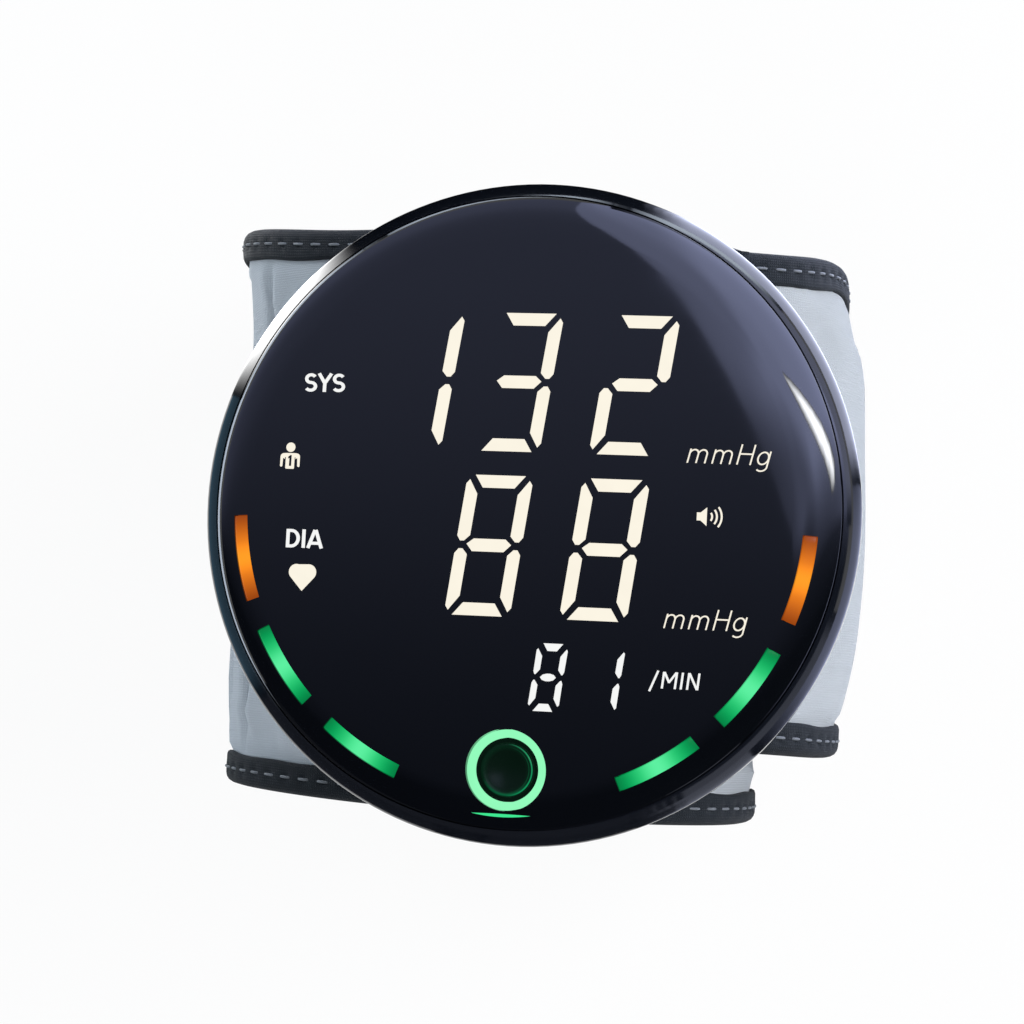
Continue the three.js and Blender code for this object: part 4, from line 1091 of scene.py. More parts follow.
# %% Light windows
guide_steps = 28


def light_window(name, middle, slot):
    """A bar bent along the rim, whose cross-section is the same all along, and sinks at both ends."""
    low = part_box(name)[0].z / mm
    across = [0.0, 0.04, 0.14, 0.35, 0.65, 0.86, 0.96, 1.0]
    sink = [0.1, 0.03, 0.0, -0.02, -0.02, 0.0, 0.03, 0.1]
    half = math.radians(guide_span_angle / 2)
    points, faces, along = [], [], []
    around = len(across) + 2
    for i in range(guide_steps + 1):
        place_along = i / guide_steps
        angle = math.radians(middle) - half + 2 * half * place_along
        end_sink = 0.08 if i in (0, guide_steps) else 0.0
        section = []
        for share_across, depth in zip(across, sink):
            radius = guide_inner + guide_width * share_across
            section.append((radius, dome_height(radius) - depth - end_sink))
        section += [(guide_inner + guide_width, low), (guide_inner, low)]
        for radius, height in section:
            points.append((radius * math.cos(angle), radius * math.sin(angle), height))
            along.append(place_along)
    for i in range(guide_steps):
        for j in range(around):
            a, b = i * around + j, i * around + (j + 1) % around
            faces.append((a, b, b + around, a + around))
    last = guide_steps * around
    faces += [tuple(range(around))[::-1], tuple(range(last, last + around))]
    item = make_mesh(name.replace("guide", "window"), points, faces, finishes[slot])
    item.data.attributes.new("along", "FLOAT", "POINT").data.foreach_set("value", along)
    return carry(item, "monitor", slot, name)


for name, angle, slot in guides:
    light_window(name, angle, slot)
print(len(guides), "light windows")

# %% [markdown]
# The digits shine through the dark window from the lamps behind it. They are made as very thin inlays
# that lie on the dome, so they keep their place from every side. A digit has seven bars with mitred
# ends, leaning a little to the right, and a table says which bars each number lights.

# %% Bars of the digits
bar_shapes = {
    "top": [(-2.72, 7.5), (2.72, 7.5), (1.72, 6.14), (-1.72, 6.14)],
    "upper_right": [
        (3.24, 7.0), (3.58, 6.55), (3.58, 0.95), (3.2, 0.42), (2.78, 0.42), (2.2, 1.02), (2.2, 5.45)],
    "lower_right": [
        (3.24, -7.0), (2.2, -5.45), (2.2, -1.02), (2.78, -0.42), (3.2, -0.42), (3.58, -0.95), (3.58, -6.55)],
    "middle": [(-2.42, 0.1), (-1.72, 0.68), (1.72, 0.68), (2.42, 0.1), (1.72, -0.68), (-1.72, -0.68)],
}
small_shapes = {
    "top": [(-1.05, 3.58), (1.05, 3.58), (0.5, 2.78), (-0.5, 2.78)],
    "upper_right": [
        (1.52, 3.02), (1.66, 2.86), (1.64, 0.62), (1.5, 0.3), (1.38, 0.3), (0.98, 0.82), (0.98, 2.22)],
    "lower_right": [
        (1.5, -3.02), (0.98, -2.22), (0.98, -0.82), (1.38, -0.3), (1.5, -0.3), (1.64, -0.62), (1.66, -2.86)],
    "middle": [(-0.85, 0.0), (-0.6, 0.28), (-0.2, 0.4), (0.2, 0.4), (0.6, 0.28),
               (0.85, 0.0), (0.6, -0.28), (0.2, -0.4), (-0.2, -0.4), (-0.6, -0.28)],
}
for shapes in (bar_shapes, small_shapes):
    for name in ("upper", "lower"):
        shapes[f"{name}_left"] = [(-x, y) for x, y in reversed(shapes[f"{name}_right"])]
    shapes["bottom"] = [(x, -y) for x, y in reversed(shapes["top"])]
all_bars = set(bar_shapes)
bars_of = {
    1: {"upper_right", "lower_right"},
    2: all_bars - {"upper_left", "lower_right"},
    3: all_bars - {"upper_left", "lower_left"},
    8: all_bars,
}
print("Bars of a digit:", ", ".join(sorted(all_bars)))

# %% [markdown]
# A digit is placed by its centre, and its bars lean together. The two rows of pressure digits are large
# and warm white, and the pulse digits below them are half as high and a purer white.

# %% Digits
inlay_rise = 0.05
inlay_depth = 0.15
digit_lean = 0.124


def inlay(name, shapes, finish, slot):
    """Thin lit plates on the dome, one for each closed outline."""
    points, faces = [], []
    for shape in shapes:
        count = len(shape)
        first = len(points)
        for offset in (inlay_rise, -inlay_depth):
            points += [(x, y, dome_height(math.hypot(x, y)) + offset) for x, y in shape]
        faces.append(tuple(range(first, first + count)))
        faces.append(tuple(range(first + count, first + 2 * count))[::-1])
        for i in range(count):
            j = (i + 1) % count
            faces.append((first + i, first + i + count, first + j + count, first + j))
    item = make_mesh(name, points, faces, finishes[finish])
    return carry(item, "monitor", slot)


def digit(name, number, centre, shapes=bar_shapes, finish="digit_light"):
    """The lit bars of a number; centre is a place on the dial, in mm."""
    bars = [[(centre[0] + x + digit_lean * y, centre[1] + y) for x, y in shapes[bar]]
            for bar in sorted(bars_of[number])]
    return inlay(name, bars, finish, "digit_light")


row_upper, row_lower, row_pulse = 13.42, -4.18, -17.85
digit("digit_pressure_high_1", 1, (-11.35, row_upper))
digit("digit_pressure_high_2", 3, (-0.57, row_upper))
digit("digit_pressure_high_3", 2, (11.88, row_upper))
digit("digit_pressure_low_1", 8, (-2.88, row_lower))
digit("digit_pressure_low_2", 8, (9.56, row_lower))
digit("digit_pulse_1", 8, (4.15, row_pulse), small_shapes, "sign_white")
digit("digit_pulse_2", 1, (10.2, row_pulse), small_shapes, "sign_white")

# %% [markdown]
# The words are generic ones that such displays carry. They are drawn as a sign maker would, stroke by
# stroke with one pen width, because a drawn stroke keeps the thin even look of the real letters. A letter
# is a few lines and arcs on a grid whose capitals are one unit high, and each stroke becomes a thin
# plate on the dome, like the bars of the digits.

# %% Strokes


def sweep(centre, radii, start, end, steps=16):
    """Points of an arc of an ellipse, from one angle to another, in degrees."""
    angles = np.radians(np.linspace(start, end, steps + 1))
    return [(centre[0] + radii[0] * math.cos(a), centre[1] + radii[1] * math.sin(a)) for a in angles]


def ribbon(line, width):
    """Closed outline of a stroke along a line of points."""
    points = np.array(line, dtype=float)
    tangent = np.gradient(points, axis=0)
    tangent /= np.linalg.norm(tangent, axis=1)[:, None]
    side = np.stack([-tangent[:, 1], tangent[:, 0]], axis=1) * width / 2
    return [tuple(point) for point in points + side] + [tuple(point) for point in (points - side)[::-1]]


print("Strokes can be swept and given a width")

# %% [markdown]
# The alphabet is a table: each letter has its width and its strokes, on a grid whose capitals are one
# unit high. Round letters are arcs, and straight ones are lines between two points.

# %% Letters
low_case_height = 0.7
letters = {
    "S": (0.62, [sweep((0.31, 0.71), (0.22, 0.21), 32, 270)
                 + sweep((0.31, 0.29), (0.235, 0.21), 90, -148)[1:]]),
    "Y": (0.7, [[(0.05, 1.0), (0.35, 0.47)], [(0.65, 1.0), (0.35, 0.47)], [(0.35, 0.52), (0.35, 0.0)]]),
    "D": (0.74, [[(0.13, 0.0), (0.13, 1.0)],
                 [(0.1, 0.92), (0.28, 0.92)] + sweep((0.3, 0.5), (0.34, 0.42), 88, -88)
                 + [(0.28, 0.08), (0.1, 0.08)]]),
    "I": (0.24, [[(0.12, 0.0), (0.12, 1.0)]]),
    "A": (0.78, [[(0.06, 0.0), (0.37, 0.99)], [(0.72, 0.0), (0.41, 0.99)], [(0.18, 0.27), (0.6, 0.27)]]),
    "M": (0.92, [[(0.1, 0.0), (0.1, 1.0)], [(0.13, 0.98), (0.47, 0.36)], [(0.81, 0.98), (0.45, 0.36)],
                 [(0.84, 0.0), (0.84, 1.0)]]),
    "N": (0.78, [[(0.1, 0.0), (0.1, 1.0)], [(0.12, 0.98), (0.66, 0.02)], [(0.68, 0.0), (0.68, 1.0)]]),
    "H": (0.82, [[(0.1, 0.0), (0.1, 1.0)], [(0.7, 0.0), (0.7, 1.0)], [(0.1, 0.53), (0.7, 0.53)]]),
    "m": (1.08, [[(0.1, 0.0), (0.1, low_case_height)],
                 sweep((0.3, 0.44), (0.2, 0.22), 165, 0) + [(0.5, 0.35), (0.5, 0.2), (0.5, 0.0)],
                 sweep((0.7, 0.44), (0.2, 0.22), 165, 0) + [(0.9, 0.35), (0.9, 0.2), (0.9, 0.0)]]),
    "g": (0.72, [sweep((0.34, 0.35), (0.24, 0.3), 2, 358, 24),
                 [(0.6, low_case_height), (0.6, 0.4), (0.6, 0.15), (0.6, 0.0)]
                 + sweep((0.36, -0.08), (0.24, 0.2), 0, -140)]),
    "/": (0.46, [[(0.0, -0.2), (0.36, 1.05)]]),
}
print("Letters:", " ".join(letters))

# %% [markdown]
# A word is set letter by letter, leaned, and stretched to the width that it has on the dial. The four
# words are a caption for each row, the unit of pressure, twice, and the unit of the pulse.

# %% Words


def word(name, text, left, baseline, cap_height, width, pen, spacing, lean=0.0, finish="sign_white"):
    """pen is the width of the strokes, in mm; spacing is the extra room between letters."""
    strokes, at = [], 0.0
    for letter in text:
        advance, lines = letters[letter]
        strokes += [[((x + at) * cap_height, y * cap_height) for x, y in line] for line in lines]
        at += advance + spacing
    plates = [ribbon(line, pen) for line in strokes]
    span = [x + lean * y for plate in plates for x, y in plate]
    stretch = width / (max(span) - min(span))
    return inlay(name, [[(left + (x + lean * y - min(span)) * stretch, baseline + y) for x, y in plate]
                        for plate in plates], finish, "digit_light")


word("word_upper", "SYS", -24.5, 11.9, 2.03, 4.65, 0.33, 0.02)
word("word_lower", "DIA", -25.5, -5.17, 2.0, 4.25, 0.33, 0.05)
word("word_unit_upper", "mmHg", 17.75, 5.35, 2.15, 8.85, 0.155, 0.06, 0.22, "digit_light")
word("word_unit_lower", "mmHg", 16.1, -12.1, 2.15, 8.75, 0.155, 0.06, 0.22, "digit_light")
word("word_per_minute", "/MIN", 14.8, -18.4, 1.75, 5.4, 0.22, 0.14, 0.1)

# %% [markdown]
# Three small signs go with the words: a user, a heart, and a speaker with its sound waves. With them
# goes a painted light: the thin green gleam under the button, where the ring's light leaves the edge of
# the window. Each is drawn as one or more closed outlines.

# %% Signs and the painted gleam


def arc(centre, radius, start, end, steps=14):
    return sweep(centre, (radius, radius), start, end, steps)


def bow(centre, radius, width, start, end):
    """A bent stroke of even width."""
    return arc(centre, radius + width / 2, start, end) + arc(centre, radius - width / 2, end, start)


def moved(shape, x, y):
    return [(x + point[0], y + point[1]) for point in shape]


heart_place = (-23.42, -8.21)
lobe_x, lobe_y, lobe_radius = 0.7, 0.42, 0.86
right_lobe = arc((lobe_x, lobe_y), lobe_radius, 144.5, -42.5, 20)
left_lobe = [(-x, y) for x, y in reversed(right_lobe)]
heart = right_lobe + [(0.0, -1.62)] + left_lobe
inlay("sign_heart", [moved(heart, *heart_place)], "digit_light", "digit_light")

speaker_place = (20.35, -0.26)
cone = [(-1.25, 0.42), (-0.85, 0.42), (-0.2, 0.98), (-0.2, -0.98), (-0.85, -0.42), (-1.25, -0.42)]
waves = [bow((-0.35, 0), radius, 0.2, -spread_angle, spread_angle)
         for radius, spread_angle in ((0.7, 36), (1.2, 38), (1.7, 38))]
speaker = [moved(shape, *speaker_place) for shape in [cone, *waves]]
inlay("sign_speaker", speaker, "digit_light", "digit_light")

user_place = (-25.6, 4.75)
head = arc((0, 1.0), 0.52, 0, 345, 22)
torso = [(0.5, 0.36), (0.5, -1.28), (0.42, -1.36), (-0.42, -1.36), (-0.5, -1.28), (-0.5, 0.36)]
arm = [(0.5, 0.36), (0.72, 0.34)] + arc((0.72, -0.06), 0.4, 75, 5, 5)
arm += [(1.12, -1.08), (1.0, -1.16), (0.86, -1.08), (0.82, -0.2), (0.7, -0.2), (0.7, -0.28)]
arm += [(0.62, -0.28), (0.62, -0.1), (0.5, -0.1)]
other_arm = [(-x, y) for x, y in reversed(arm)]
user = [moved(shape, *user_place) for shape in (head, torso, arm, other_arm)]
inlay("sign_user", user, "digit_light", "digit_light")
user_number = [(-0.22, -0.05), (0.02, 0.14), (0.17, 0.14), (0.17, -1.05), (-0.08, -1.05), (-0.08, -0.18)]
user_number += [(-0.22, -0.26)]
number = inlay("sign_user_number", [moved(user_number, *user_place)], "gloss_window", "gloss_window")
for vertex in number.data.vertices:
    vertex.co.z += 0.5 * inlay_rise * mm

# painted light: a thin glowing strip stands for the ring's light leaving the window's edge
gleam_place = (-0.42, -32.62)
gleam_half, gleam_bend, gleam_thickness = 3.2, 0.12, 0.17
across_gleam = np.linspace(-1, 1, 25)
upper = [(x * gleam_half, gleam_bend * x * x + gleam_thickness * (1 - x * x)) for x in across_gleam]
lower = [(x * gleam_half, gleam_bend * x * x - gleam_thickness * (1 - x * x)) for x in across_gleam[-2:0:-1]]
inlay("painted_gleam", [moved(upper + lower, *gleam_place)], "gleam_light", "green_light")

# %% [markdown]
# The cuff is one long padded band, closed to a loop. Its short end is at the lower right; from there it
# goes up, across under the case, down the left and along the table, and comes up outside the short end
# as the tail. Its middle line is the CAD line, a rounded loop and then the leaning tail, so that the
# cloth lies where the solids are.

# %% Middle line of the cuff
loop_shift = -7.0
loop_half_width = 37.5
arm_half_width = 26.5
loop_half_height = 25.0
loop_middle = 27.0
roundness = 2.3
arm_end_angle = -35.0
join_angle = 322.0
tail_centre = 9.5
tail_lean_width = 21.0
tail_rise = 24.2
tail_end_angle = 71.0


def loop_point(degrees):
    """A place (x, z) on the loop, a rounded box that is narrower on the side of the short end."""
    angle = math.radians(degrees)
    half_width = arm_half_width if degrees < 90 else loop_half_width
    bend_x = math.copysign(abs(math.cos(angle)) ** (2 / roundness), math.cos(angle))
    bend_z = math.copysign(abs(math.sin(angle)) ** (2 / roundness), math.sin(angle))
    return loop_shift + half_width * bend_x, loop_middle + loop_half_height * bend_z


def tail_point(degrees):
    """A place (x, z) on the tail, an arc of an ellipse."""
    angle = math.radians(degrees)
    return tail_centre + tail_lean_width * math.cos(angle), loop_middle + tail_rise * math.sin(angle)


print("The loop starts at", [round(value, 1) for value in loop_point(arm_end_angle)], "mm")

# %% [markdown]
# The band isn't an even strip. It is narrower at the tail, it sits a little askew at the right, and its
# sewn edges stand out or curl in, as thick tape does beside soft padding. Each of these is a small
# function of the place along the cuff, so each can be changed by itself.

# %% Width and edges of the cuff
band_sides = (32.5, 38.0)
tail_sides = (25.0, 34.0)
narrowing_start, narrowing_end = 262.0, 320.0


def bell(value, middle, width):
    """A smooth hump: 1 at its middle, and near 0 from twice its width away."""
    return math.exp(-((value - middle) / width) ** 2)


def sides_at(degrees):
    """Distances from the middle line to the -Y edge and the +Y edge, before the band slips."""
    share = smooth(narrowing_start, narrowing_end, degrees)
    return [a + (b - a) * share for a, b in zip(band_sides, tail_sides)]


def band_at(degrees):
    """Distances to the -Y edge and the +Y edge: the band slips towards -Y at the right of the loop."""
    slip = 1.6 * (1 - smooth(70, 170, degrees))
    arm, hand = sides_at(degrees)
    return arm + slip, hand - slip + 0.85 * bell(degrees, 170, 18) - 1.0 * bell(degrees, 120, 25)


def tail_widened(share):
    """How much wider the tail is at each edge: it is widest just past its bend, which is at share 1."""
    widest = bell(share, 1.15, 0.5)
    return 0.4 * widest, 2.3 * widest


def flare_at(degrees):
    """How far the sewn edges stand out of the padded band at the left of the loop: (-Y edge, +Y edge)."""
    hump = bell(degrees, 174, 30)
    return -0.2 * hump, 1.9 * hump


def tail_flare(share):
    """The same for the tail, whose edges curl in; share is 0 at the join, 1 at the bend, 2 at the end."""
    curl = smooth(0, 1, share) * smooth(0, 0.8, 2 - share)
    return -0.85 * curl, -1.8 * curl


print("Band:", sum(band_sides), "mm wide, tail:", sum(tail_sides), "mm")

# %% [markdown]
# Stitches and threads need even steps, and angles don't give them. So the lines are sampled finely
# first, and then read off again at stations of equal length: fine ones for tapes and stitches, coarser
# ones for cloth that is simulated.

# %% Stations along the cuff
sample_step = 0.25


def even_line(samples, step):
    """Stations of equal length: place, outward normal, sides, flares of the edges, and length so far."""
    table = np.array(samples)
    lengths = np.concatenate([[0], np.cumsum(np.hypot(*np.diff(table[:, :2], axis=0).T))])
    count = max(int(round(lengths[-1] / step)), 2)
    at = np.linspace(0, lengths[-1], count + 1)
    columns = [np.interp(at, lengths, table[:, k]) for k in range(6)]
    tangent = np.gradient(np.array(columns[:2]).T, axis=0)
    tangent /= np.linalg.norm(tangent, axis=1)[:, None]
    return {
        "x": columns[0], "z": columns[1], "arm": columns[2], "hand": columns[3],
        "flare_arm": columns[4], "flare_hand": columns[5], "length": at,
        "out_x": tangent[:, 1], "out_z": -tangent[:, 0],
    }


def tail_station(point, sides, share):
    """One sample of the tail, whose extra width begins softly after the join."""
    start = smooth(0, 0.5, share)
    arm, hand = (side + more * start for side, more in zip(sides, tail_widened(share)))
    return (*point, arm, hand, *tail_flare(share))


def loop_stations(first, last, step):
    return [(*loop_point(a), *band_at(a), *flare_at(a)) for a in np.arange(first, last, step)]


loop_samples = loop_stations(arm_end_angle, join_angle + 0.01, sample_step)
tail_samples = [tail_station(loop_point(a), sides_at(a), (a - join_angle) / (360 - join_angle))
                for a in np.arange(join_angle, 359.9, sample_step)]
tail_samples += [tail_station(tail_point(a), tail_sides, 1 + a / tail_end_angle)
                 for a in np.arange(0.1, tail_end_angle + 0.01, sample_step)]
stitch_pitch = 2.8
fine_step, middling_step, coarse_step = stitch_pitch / 8, 0.65, 1.3
loop_fine = even_line(loop_samples, fine_step)
tail_fine = even_line(tail_samples, fine_step)
loop_coarse = even_line(loop_samples, coarse_step)
loop_middling = even_line(loop_samples, middling_step)
tail_coarse = even_line(tail_samples, coarse_step)
print("Loop", round(loop_fine["length"][-1]), "mm long, tail", round(tail_fine["length"][-1]), "mm long")

# %% [markdown]
# The padding is full in the middle of the band and thin at its sewn edges. A helper lays a grid of
# points along the line, at chosen places across it and at an offset from the middle of the band, and
# moves the offset out or in where the edges stand out or curl.

# %% Padding and offsets
band_thickness = 5.0
band_edge_thickness = 2.4
cloth_thickness = 1.1
binding_width = 4.0
binding_gap = 0.15


def padding(share):
    """Half the thickness of the band at a share of its half width."""
    inside = np.minimum(np.abs(share), 1.0)
    return band_edge_thickness / 2 + (band_thickness - band_edge_thickness) / 2 * (1 - inside ** 2)


def flare_of(line, side):
    """Extra offset near the two edges, where the sewn tape stands out or curls in."""
    half = (line["hand"] + line["arm"])[:, None] / 2
    share = (side - (line["hand"] - line["arm"])[:, None] / 2) / half
    toward_hand = smooth(0.5, 0.97, share) * line["flare_hand"][:, None]
    return toward_hand + smooth(0.5, 0.97, -share) * line["flare_arm"][:, None]


def lay(line, side, offset):
    """Points at a place across (side, in mm) and an offset out of the middle, for every station."""
    offset = offset + flare_of(line, side)
    x = line["x"][:, None] + line["out_x"][:, None] * offset
    z = line["z"][:, None] + line["out_z"][:, None] * offset
    return np.stack([x, np.broadcast_to(side, x.shape), z], axis=2)


print("The band is", band_thickness, "mm thick, and", band_edge_thickness, "mm at its sewn edges")

# %% [markdown]
# A sheet of cloth needs a front, a rear and a rim, or it has no edge to look at. So two grids of the
# same size are closed into one skin, and it carries a map in millimetres for its weave.

# %% Skins of cloth


def grid_faces(rows, columns, first=0):
    faces = []
    for i in range(rows - 1):
        for j in range(columns - 1):
            a = first + i * columns + j
            faces.append((a, a + 1, a + columns + 1, a + columns))
    return faces


def write_map(item, chart):
    """Stores the millimetre map of a piece: chart has one (along, across) pair for each point."""
    layer = item.data.uv_layers.new(name=cloth_map)
    for loop in item.data.loops:
        layer.data[loop.index].uv = chart[loop.vertex_index]


def skin(name, front, rear, chart, finish, crease=60.0):
    """Closes a front grid and a rear grid, of the same size, into one solid skin."""
    rows, columns = front.shape[:2]
    points = np.concatenate([front.reshape(-1, 3), rear.reshape(-1, 3)])
    total = rows * columns
    faces = grid_faces(rows, columns) + [face[::-1] for face in grid_faces(rows, columns, total)]
    border = list(range(columns))
    border += [i * columns + columns - 1 for i in range(1, rows)]
    border += [(rows - 1) * columns + j for j in range(columns - 2, -1, -1)]
    border += [i * columns for i in range(rows - 2, 0, -1)]
    for a, b in zip(border, border[1:] + border[:1]):
        faces.append((b, a, a + total, b + total))
    item = make_mesh(name, points.tolist(), faces, finishes[finish], crease)
    write_map(item, np.concatenate([chart, chart]).tolist())
    return item


def chart_of(line, side):
    along = np.broadcast_to(line["length"][:, None], side.shape)
    return np.stack([along, side], axis=2).reshape(-1, 2)


print("Grids can be closed into skins")

# %% [markdown]
# Cloth over padding isn't smooth: it has slow waves, and it settles unevenly between its seams. The
# waves are sums of sines with fixed phases, so they come out the same on every run. The settling is a
# short cloth simulation of the sheet, a little larger than its seams allow, with the sewn edges held.
# Blender's cloth likes large things, so the sheet is simulated at twenty times its size, and each
# point's movement is then cut to a limit, so that the cloth never sinks through its padding.

# %% Settling cloth
# rate along, rate across, phase and height of each wave
waves_of = [
    (0.11, 0.31, 0.4, 0.16), (0.23, 0.17, 1.9, 0.12), (0.37, 0.45, 4.1, 0.07), (0.61, 0.22, 2.6, 0.05)]
settle_scale = 20.0
settle_frames = 20
cloth_ease = 0.025


def slow_waves(along, across, strength):
    """Uneven padding: each wave wanders sideways as it crosses the band."""
    total = np.zeros(np.broadcast(along, across).shape)
    for rate_along, rate_across, phase, size in waves_of:
        sway = 1.3 * np.sin(rate_across * across * 0.4 + phase)
        total = total + size * np.sin(rate_along * along + phase + sway)
    return total * strength


def settled(grid, held, limit):
    """Lets a sheet settle over its padding, by no more than the limit; held points stay in the seams."""
    rows, columns = grid.shape[:2]
    start = grid.reshape(-1, 3) * mm * settle_scale
    mesh = bpy.data.meshes.new("settling_sheet")
    mesh.from_pydata(start.tolist(), [], grid_faces(rows, columns))
    sheet = bpy.data.objects.new("settling_sheet", mesh)
    scene.collection.objects.link(sheet)
    pins = sheet.vertex_groups.new(name="held")
    pins.add(np.flatnonzero(held.reshape(-1)).tolist(), 1.0, "REPLACE")
    simulation = sheet.modifiers.new("settle", "CLOTH")
    settings = simulation.settings
    settings.vertex_group_mass = "held"
    settings.quality = 5
    settings.mass = 0.3
    settings.tension_stiffness = settings.compression_stiffness = 12
    settings.shear_stiffness = 6
    settings.bending_stiffness = 0.8
    settings.shrink_min = -cloth_ease
    settings.effector_weights.gravity = 0
    simulation.collision_settings.use_collision = False
    simulation.point_cache.frame_start = 1
    simulation.point_cache.frame_end = settle_frames
    for frame_number in range(1, settle_frames + 1):
        scene.frame_set(frame_number)
    result = sheet.evaluated_get(bpy.context.evaluated_depsgraph_get())
    end = np.array([tuple(vertex.co) for vertex in result.data.vertices])
    bpy.data.objects.remove(sheet)
    bpy.data.meshes.remove(mesh)
    scene.frame_set(1)
    moved_by = (end - start) / (mm * settle_scale)
    reach = np.linalg.norm(moved_by, axis=1)[:, None]
    print("Cloth moved by", round(float(reach.mean()), 2), "mm, at most", round(float(reach.max()), 2))
    moved_by *= np.minimum(1, limit.reshape(-1, 1) / np.maximum(reach, 1e-6))
    return grid + moved_by.reshape(grid.shape)


print("Waves in the padding:", len(waves_of), "and", settle_frames, "steps of settling")

# %% [markdown]
# The cover and the lining are sheets between the bindings. The cloth puckers beside the stitches, swells
# with the padding and thins towards a tape at its free end. After it has settled, three soft dips make
# the one crease that bending has pressed into the cover. Where the cuff stands on the
# table it is flat, so no point goes below the table.

# %% Cover and lining
floor_gap = 0.05
sewn_height = 1.25
padding_hold = 0.75
crease_angle = 148.0
crease_slant = 0.03
crease_samples = loop_samples[:int((crease_angle - arm_end_angle) / sample_step) + 1]
crease_at = even_line(crease_samples, coarse_step)["length"][-1]
# place along the cuff, depth and width of each dip, in mm
crease_places = [(crease_at, 0.8, 0.55), (crease_at - 2.2, -0.25, 1.2), (crease_at + 2.0, -0.2, 1.2)]


def cloth_sheet(name, line, facing, finish, strength, loose, free_end, creases=()):
    """A cover (facing 1) or lining (-1); it settles by up to loose times its height, and its free end
    (0 is the first, -1 the last) lies under a tape."""
    count = 44
    half = (line["hand"] + line["arm"]) / 2
    middle = (line["hand"] - line["arm"]) / 2
    edge = (half - 0.8)[:, None]
    soft = (half - binding_width - binding_gap)[:, None]
    share = np.sin(np.linspace(-1, 1, count) * math.pi / 2)[None, :]
    reach = share * edge
    side = middle[:, None] + reach
    along = line["length"][:, None]
    from_seam = soft - np.abs(reach)
    inner = np.clip(from_seam / 3.0, 0, 1)
    pucker = 0.1 * np.sin(2 * math.pi * along / stitch_pitch) * inner * np.exp(-from_seam / 1.6)
    from_join = np.abs(along - line["length"][-1 - free_end])
    swell = slow_waves(along, side, strength) * inner * smooth(0, 8, from_join)
    from_end = np.abs(along - line["length"][free_end])
    inner = inner * smooth(binding_width, 9.0, from_end)
    fullness = smooth(binding_width - 1.5, 13.0, from_end)
    height = sewn_height + (padding(reach / soft) + pucker + swell - sewn_height) * fullness
    front = lay(line, side, facing * height)
    rear = lay(line, side, facing * (height - cloth_thickness))
    outward = np.stack([line["out_x"], 0 * line["out_x"], line["out_z"]], axis=1)[:, None, :]
    held = np.broadcast_to(inner < 0.05, height.shape).copy()
    held[:2] = held[-2:] = True
    change = settled(front, held, loose * height * fullness) - front
    inward = np.minimum((change * facing * outward).sum(axis=2), 0)[:, :, None]
    change = change - inward * padding_hold * facing * outward
    front = front + change
    rear = rear + change
    for place_along, depth, width in creases:
        dip = depth * np.exp(-((along + crease_slant * side - place_along) / width) ** 2) * inner
        front = front - facing * dip[:, :, None] * outward
    front[:, :, 2] = np.maximum(front[:, :, 2], floor_gap)
    rear[:, :, 2] = np.maximum(rear[:, :, 2], floor_gap + cloth_thickness)
    return skin(name, front, rear, chart_of(line, side), finish)


cover = cloth_sheet("cuff_cover_cloth", loop_middling, 1, "cuff_cloth", 1.0, 0.4, 0, crease_places)
carry(cover, "monitor", "cuff_cloth", "cuff_cover")
lining = cloth_sheet("cuff_lining_cloth", loop_coarse, -1, "lining_cloth", 1.2, 0.3, 0)
carry(lining, "monitor", "lining_cloth", "cuff_lining")
print("Cover:", len(cover.data.polygons), "faces; lining:", len(lining.data.polygons), "faces")

# %% [markdown]
# The binding is a woven tape folded over each long edge and sewn through. A bent strip with thickness
# from a modifier would do for a plain hem, but here the outline of the fold is swept along the edge,
# because it then has two flat legs, a round back and an inside. The needle pulls the tape in at every
# stitch, so the legs dip at the thread and puff between.

# %% Bindings
stitch_inset = 2.1
stitch_pull = 0.24
# distance from the edge and offset from the middle of the band
fold = [(4.0, 1.34), (4.0, 1.62), (3.86, 1.86), (3.5, 1.98), (2.9, 2.0), (2.4, 2.02), (2.1, 2.02),
        (1.8, 2.02), (1.3, 2.0), (0.85, 1.88), (0.45, 1.6), (0.18, 1.15), (0.04, 0.6), (0.0, 0.0)]
fold_outer = fold + [(inset, -offset) for inset, offset in reversed(fold[:-1])]
fold_inner = [(3.98, -1.3), (2.2, -1.28), (0.75, -1.2), (0.6, 0.0), (0.75, 1.2), (2.2, 1.28), (3.98, 1.3)]
fold_line = np.array(fold_outer + fold_inner)
fold_lengths = np.concatenate([[0], np.cumsum(np.hypot(*np.diff(fold_line, axis=0).T))])


def needle_pull(inset, along):
    """How deep the thread pulls the tape in: most at each stitch, nothing away from the row."""
    across_row = np.exp(-((inset - stitch_inset) / 0.7) ** 2)
    return stitch_pull * across_row * (0.5 + 0.5 * np.cos(2 * math.pi * along / stitch_pitch)) ** 2


def tube_faces(rows, columns):
    """Faces of a closed section swept through rows, with an end face at each end."""
    faces = [(i * columns + j, i * columns + k, (i + 1) * columns + k, (i + 1) * columns + j)
             for i in range(rows - 1) for j, k in zip(range(columns), [*range(1, columns), 0])]
    last = (rows - 1) * columns
    return faces + [tuple(range(columns))[::-1], tuple(range(last, last + columns))]


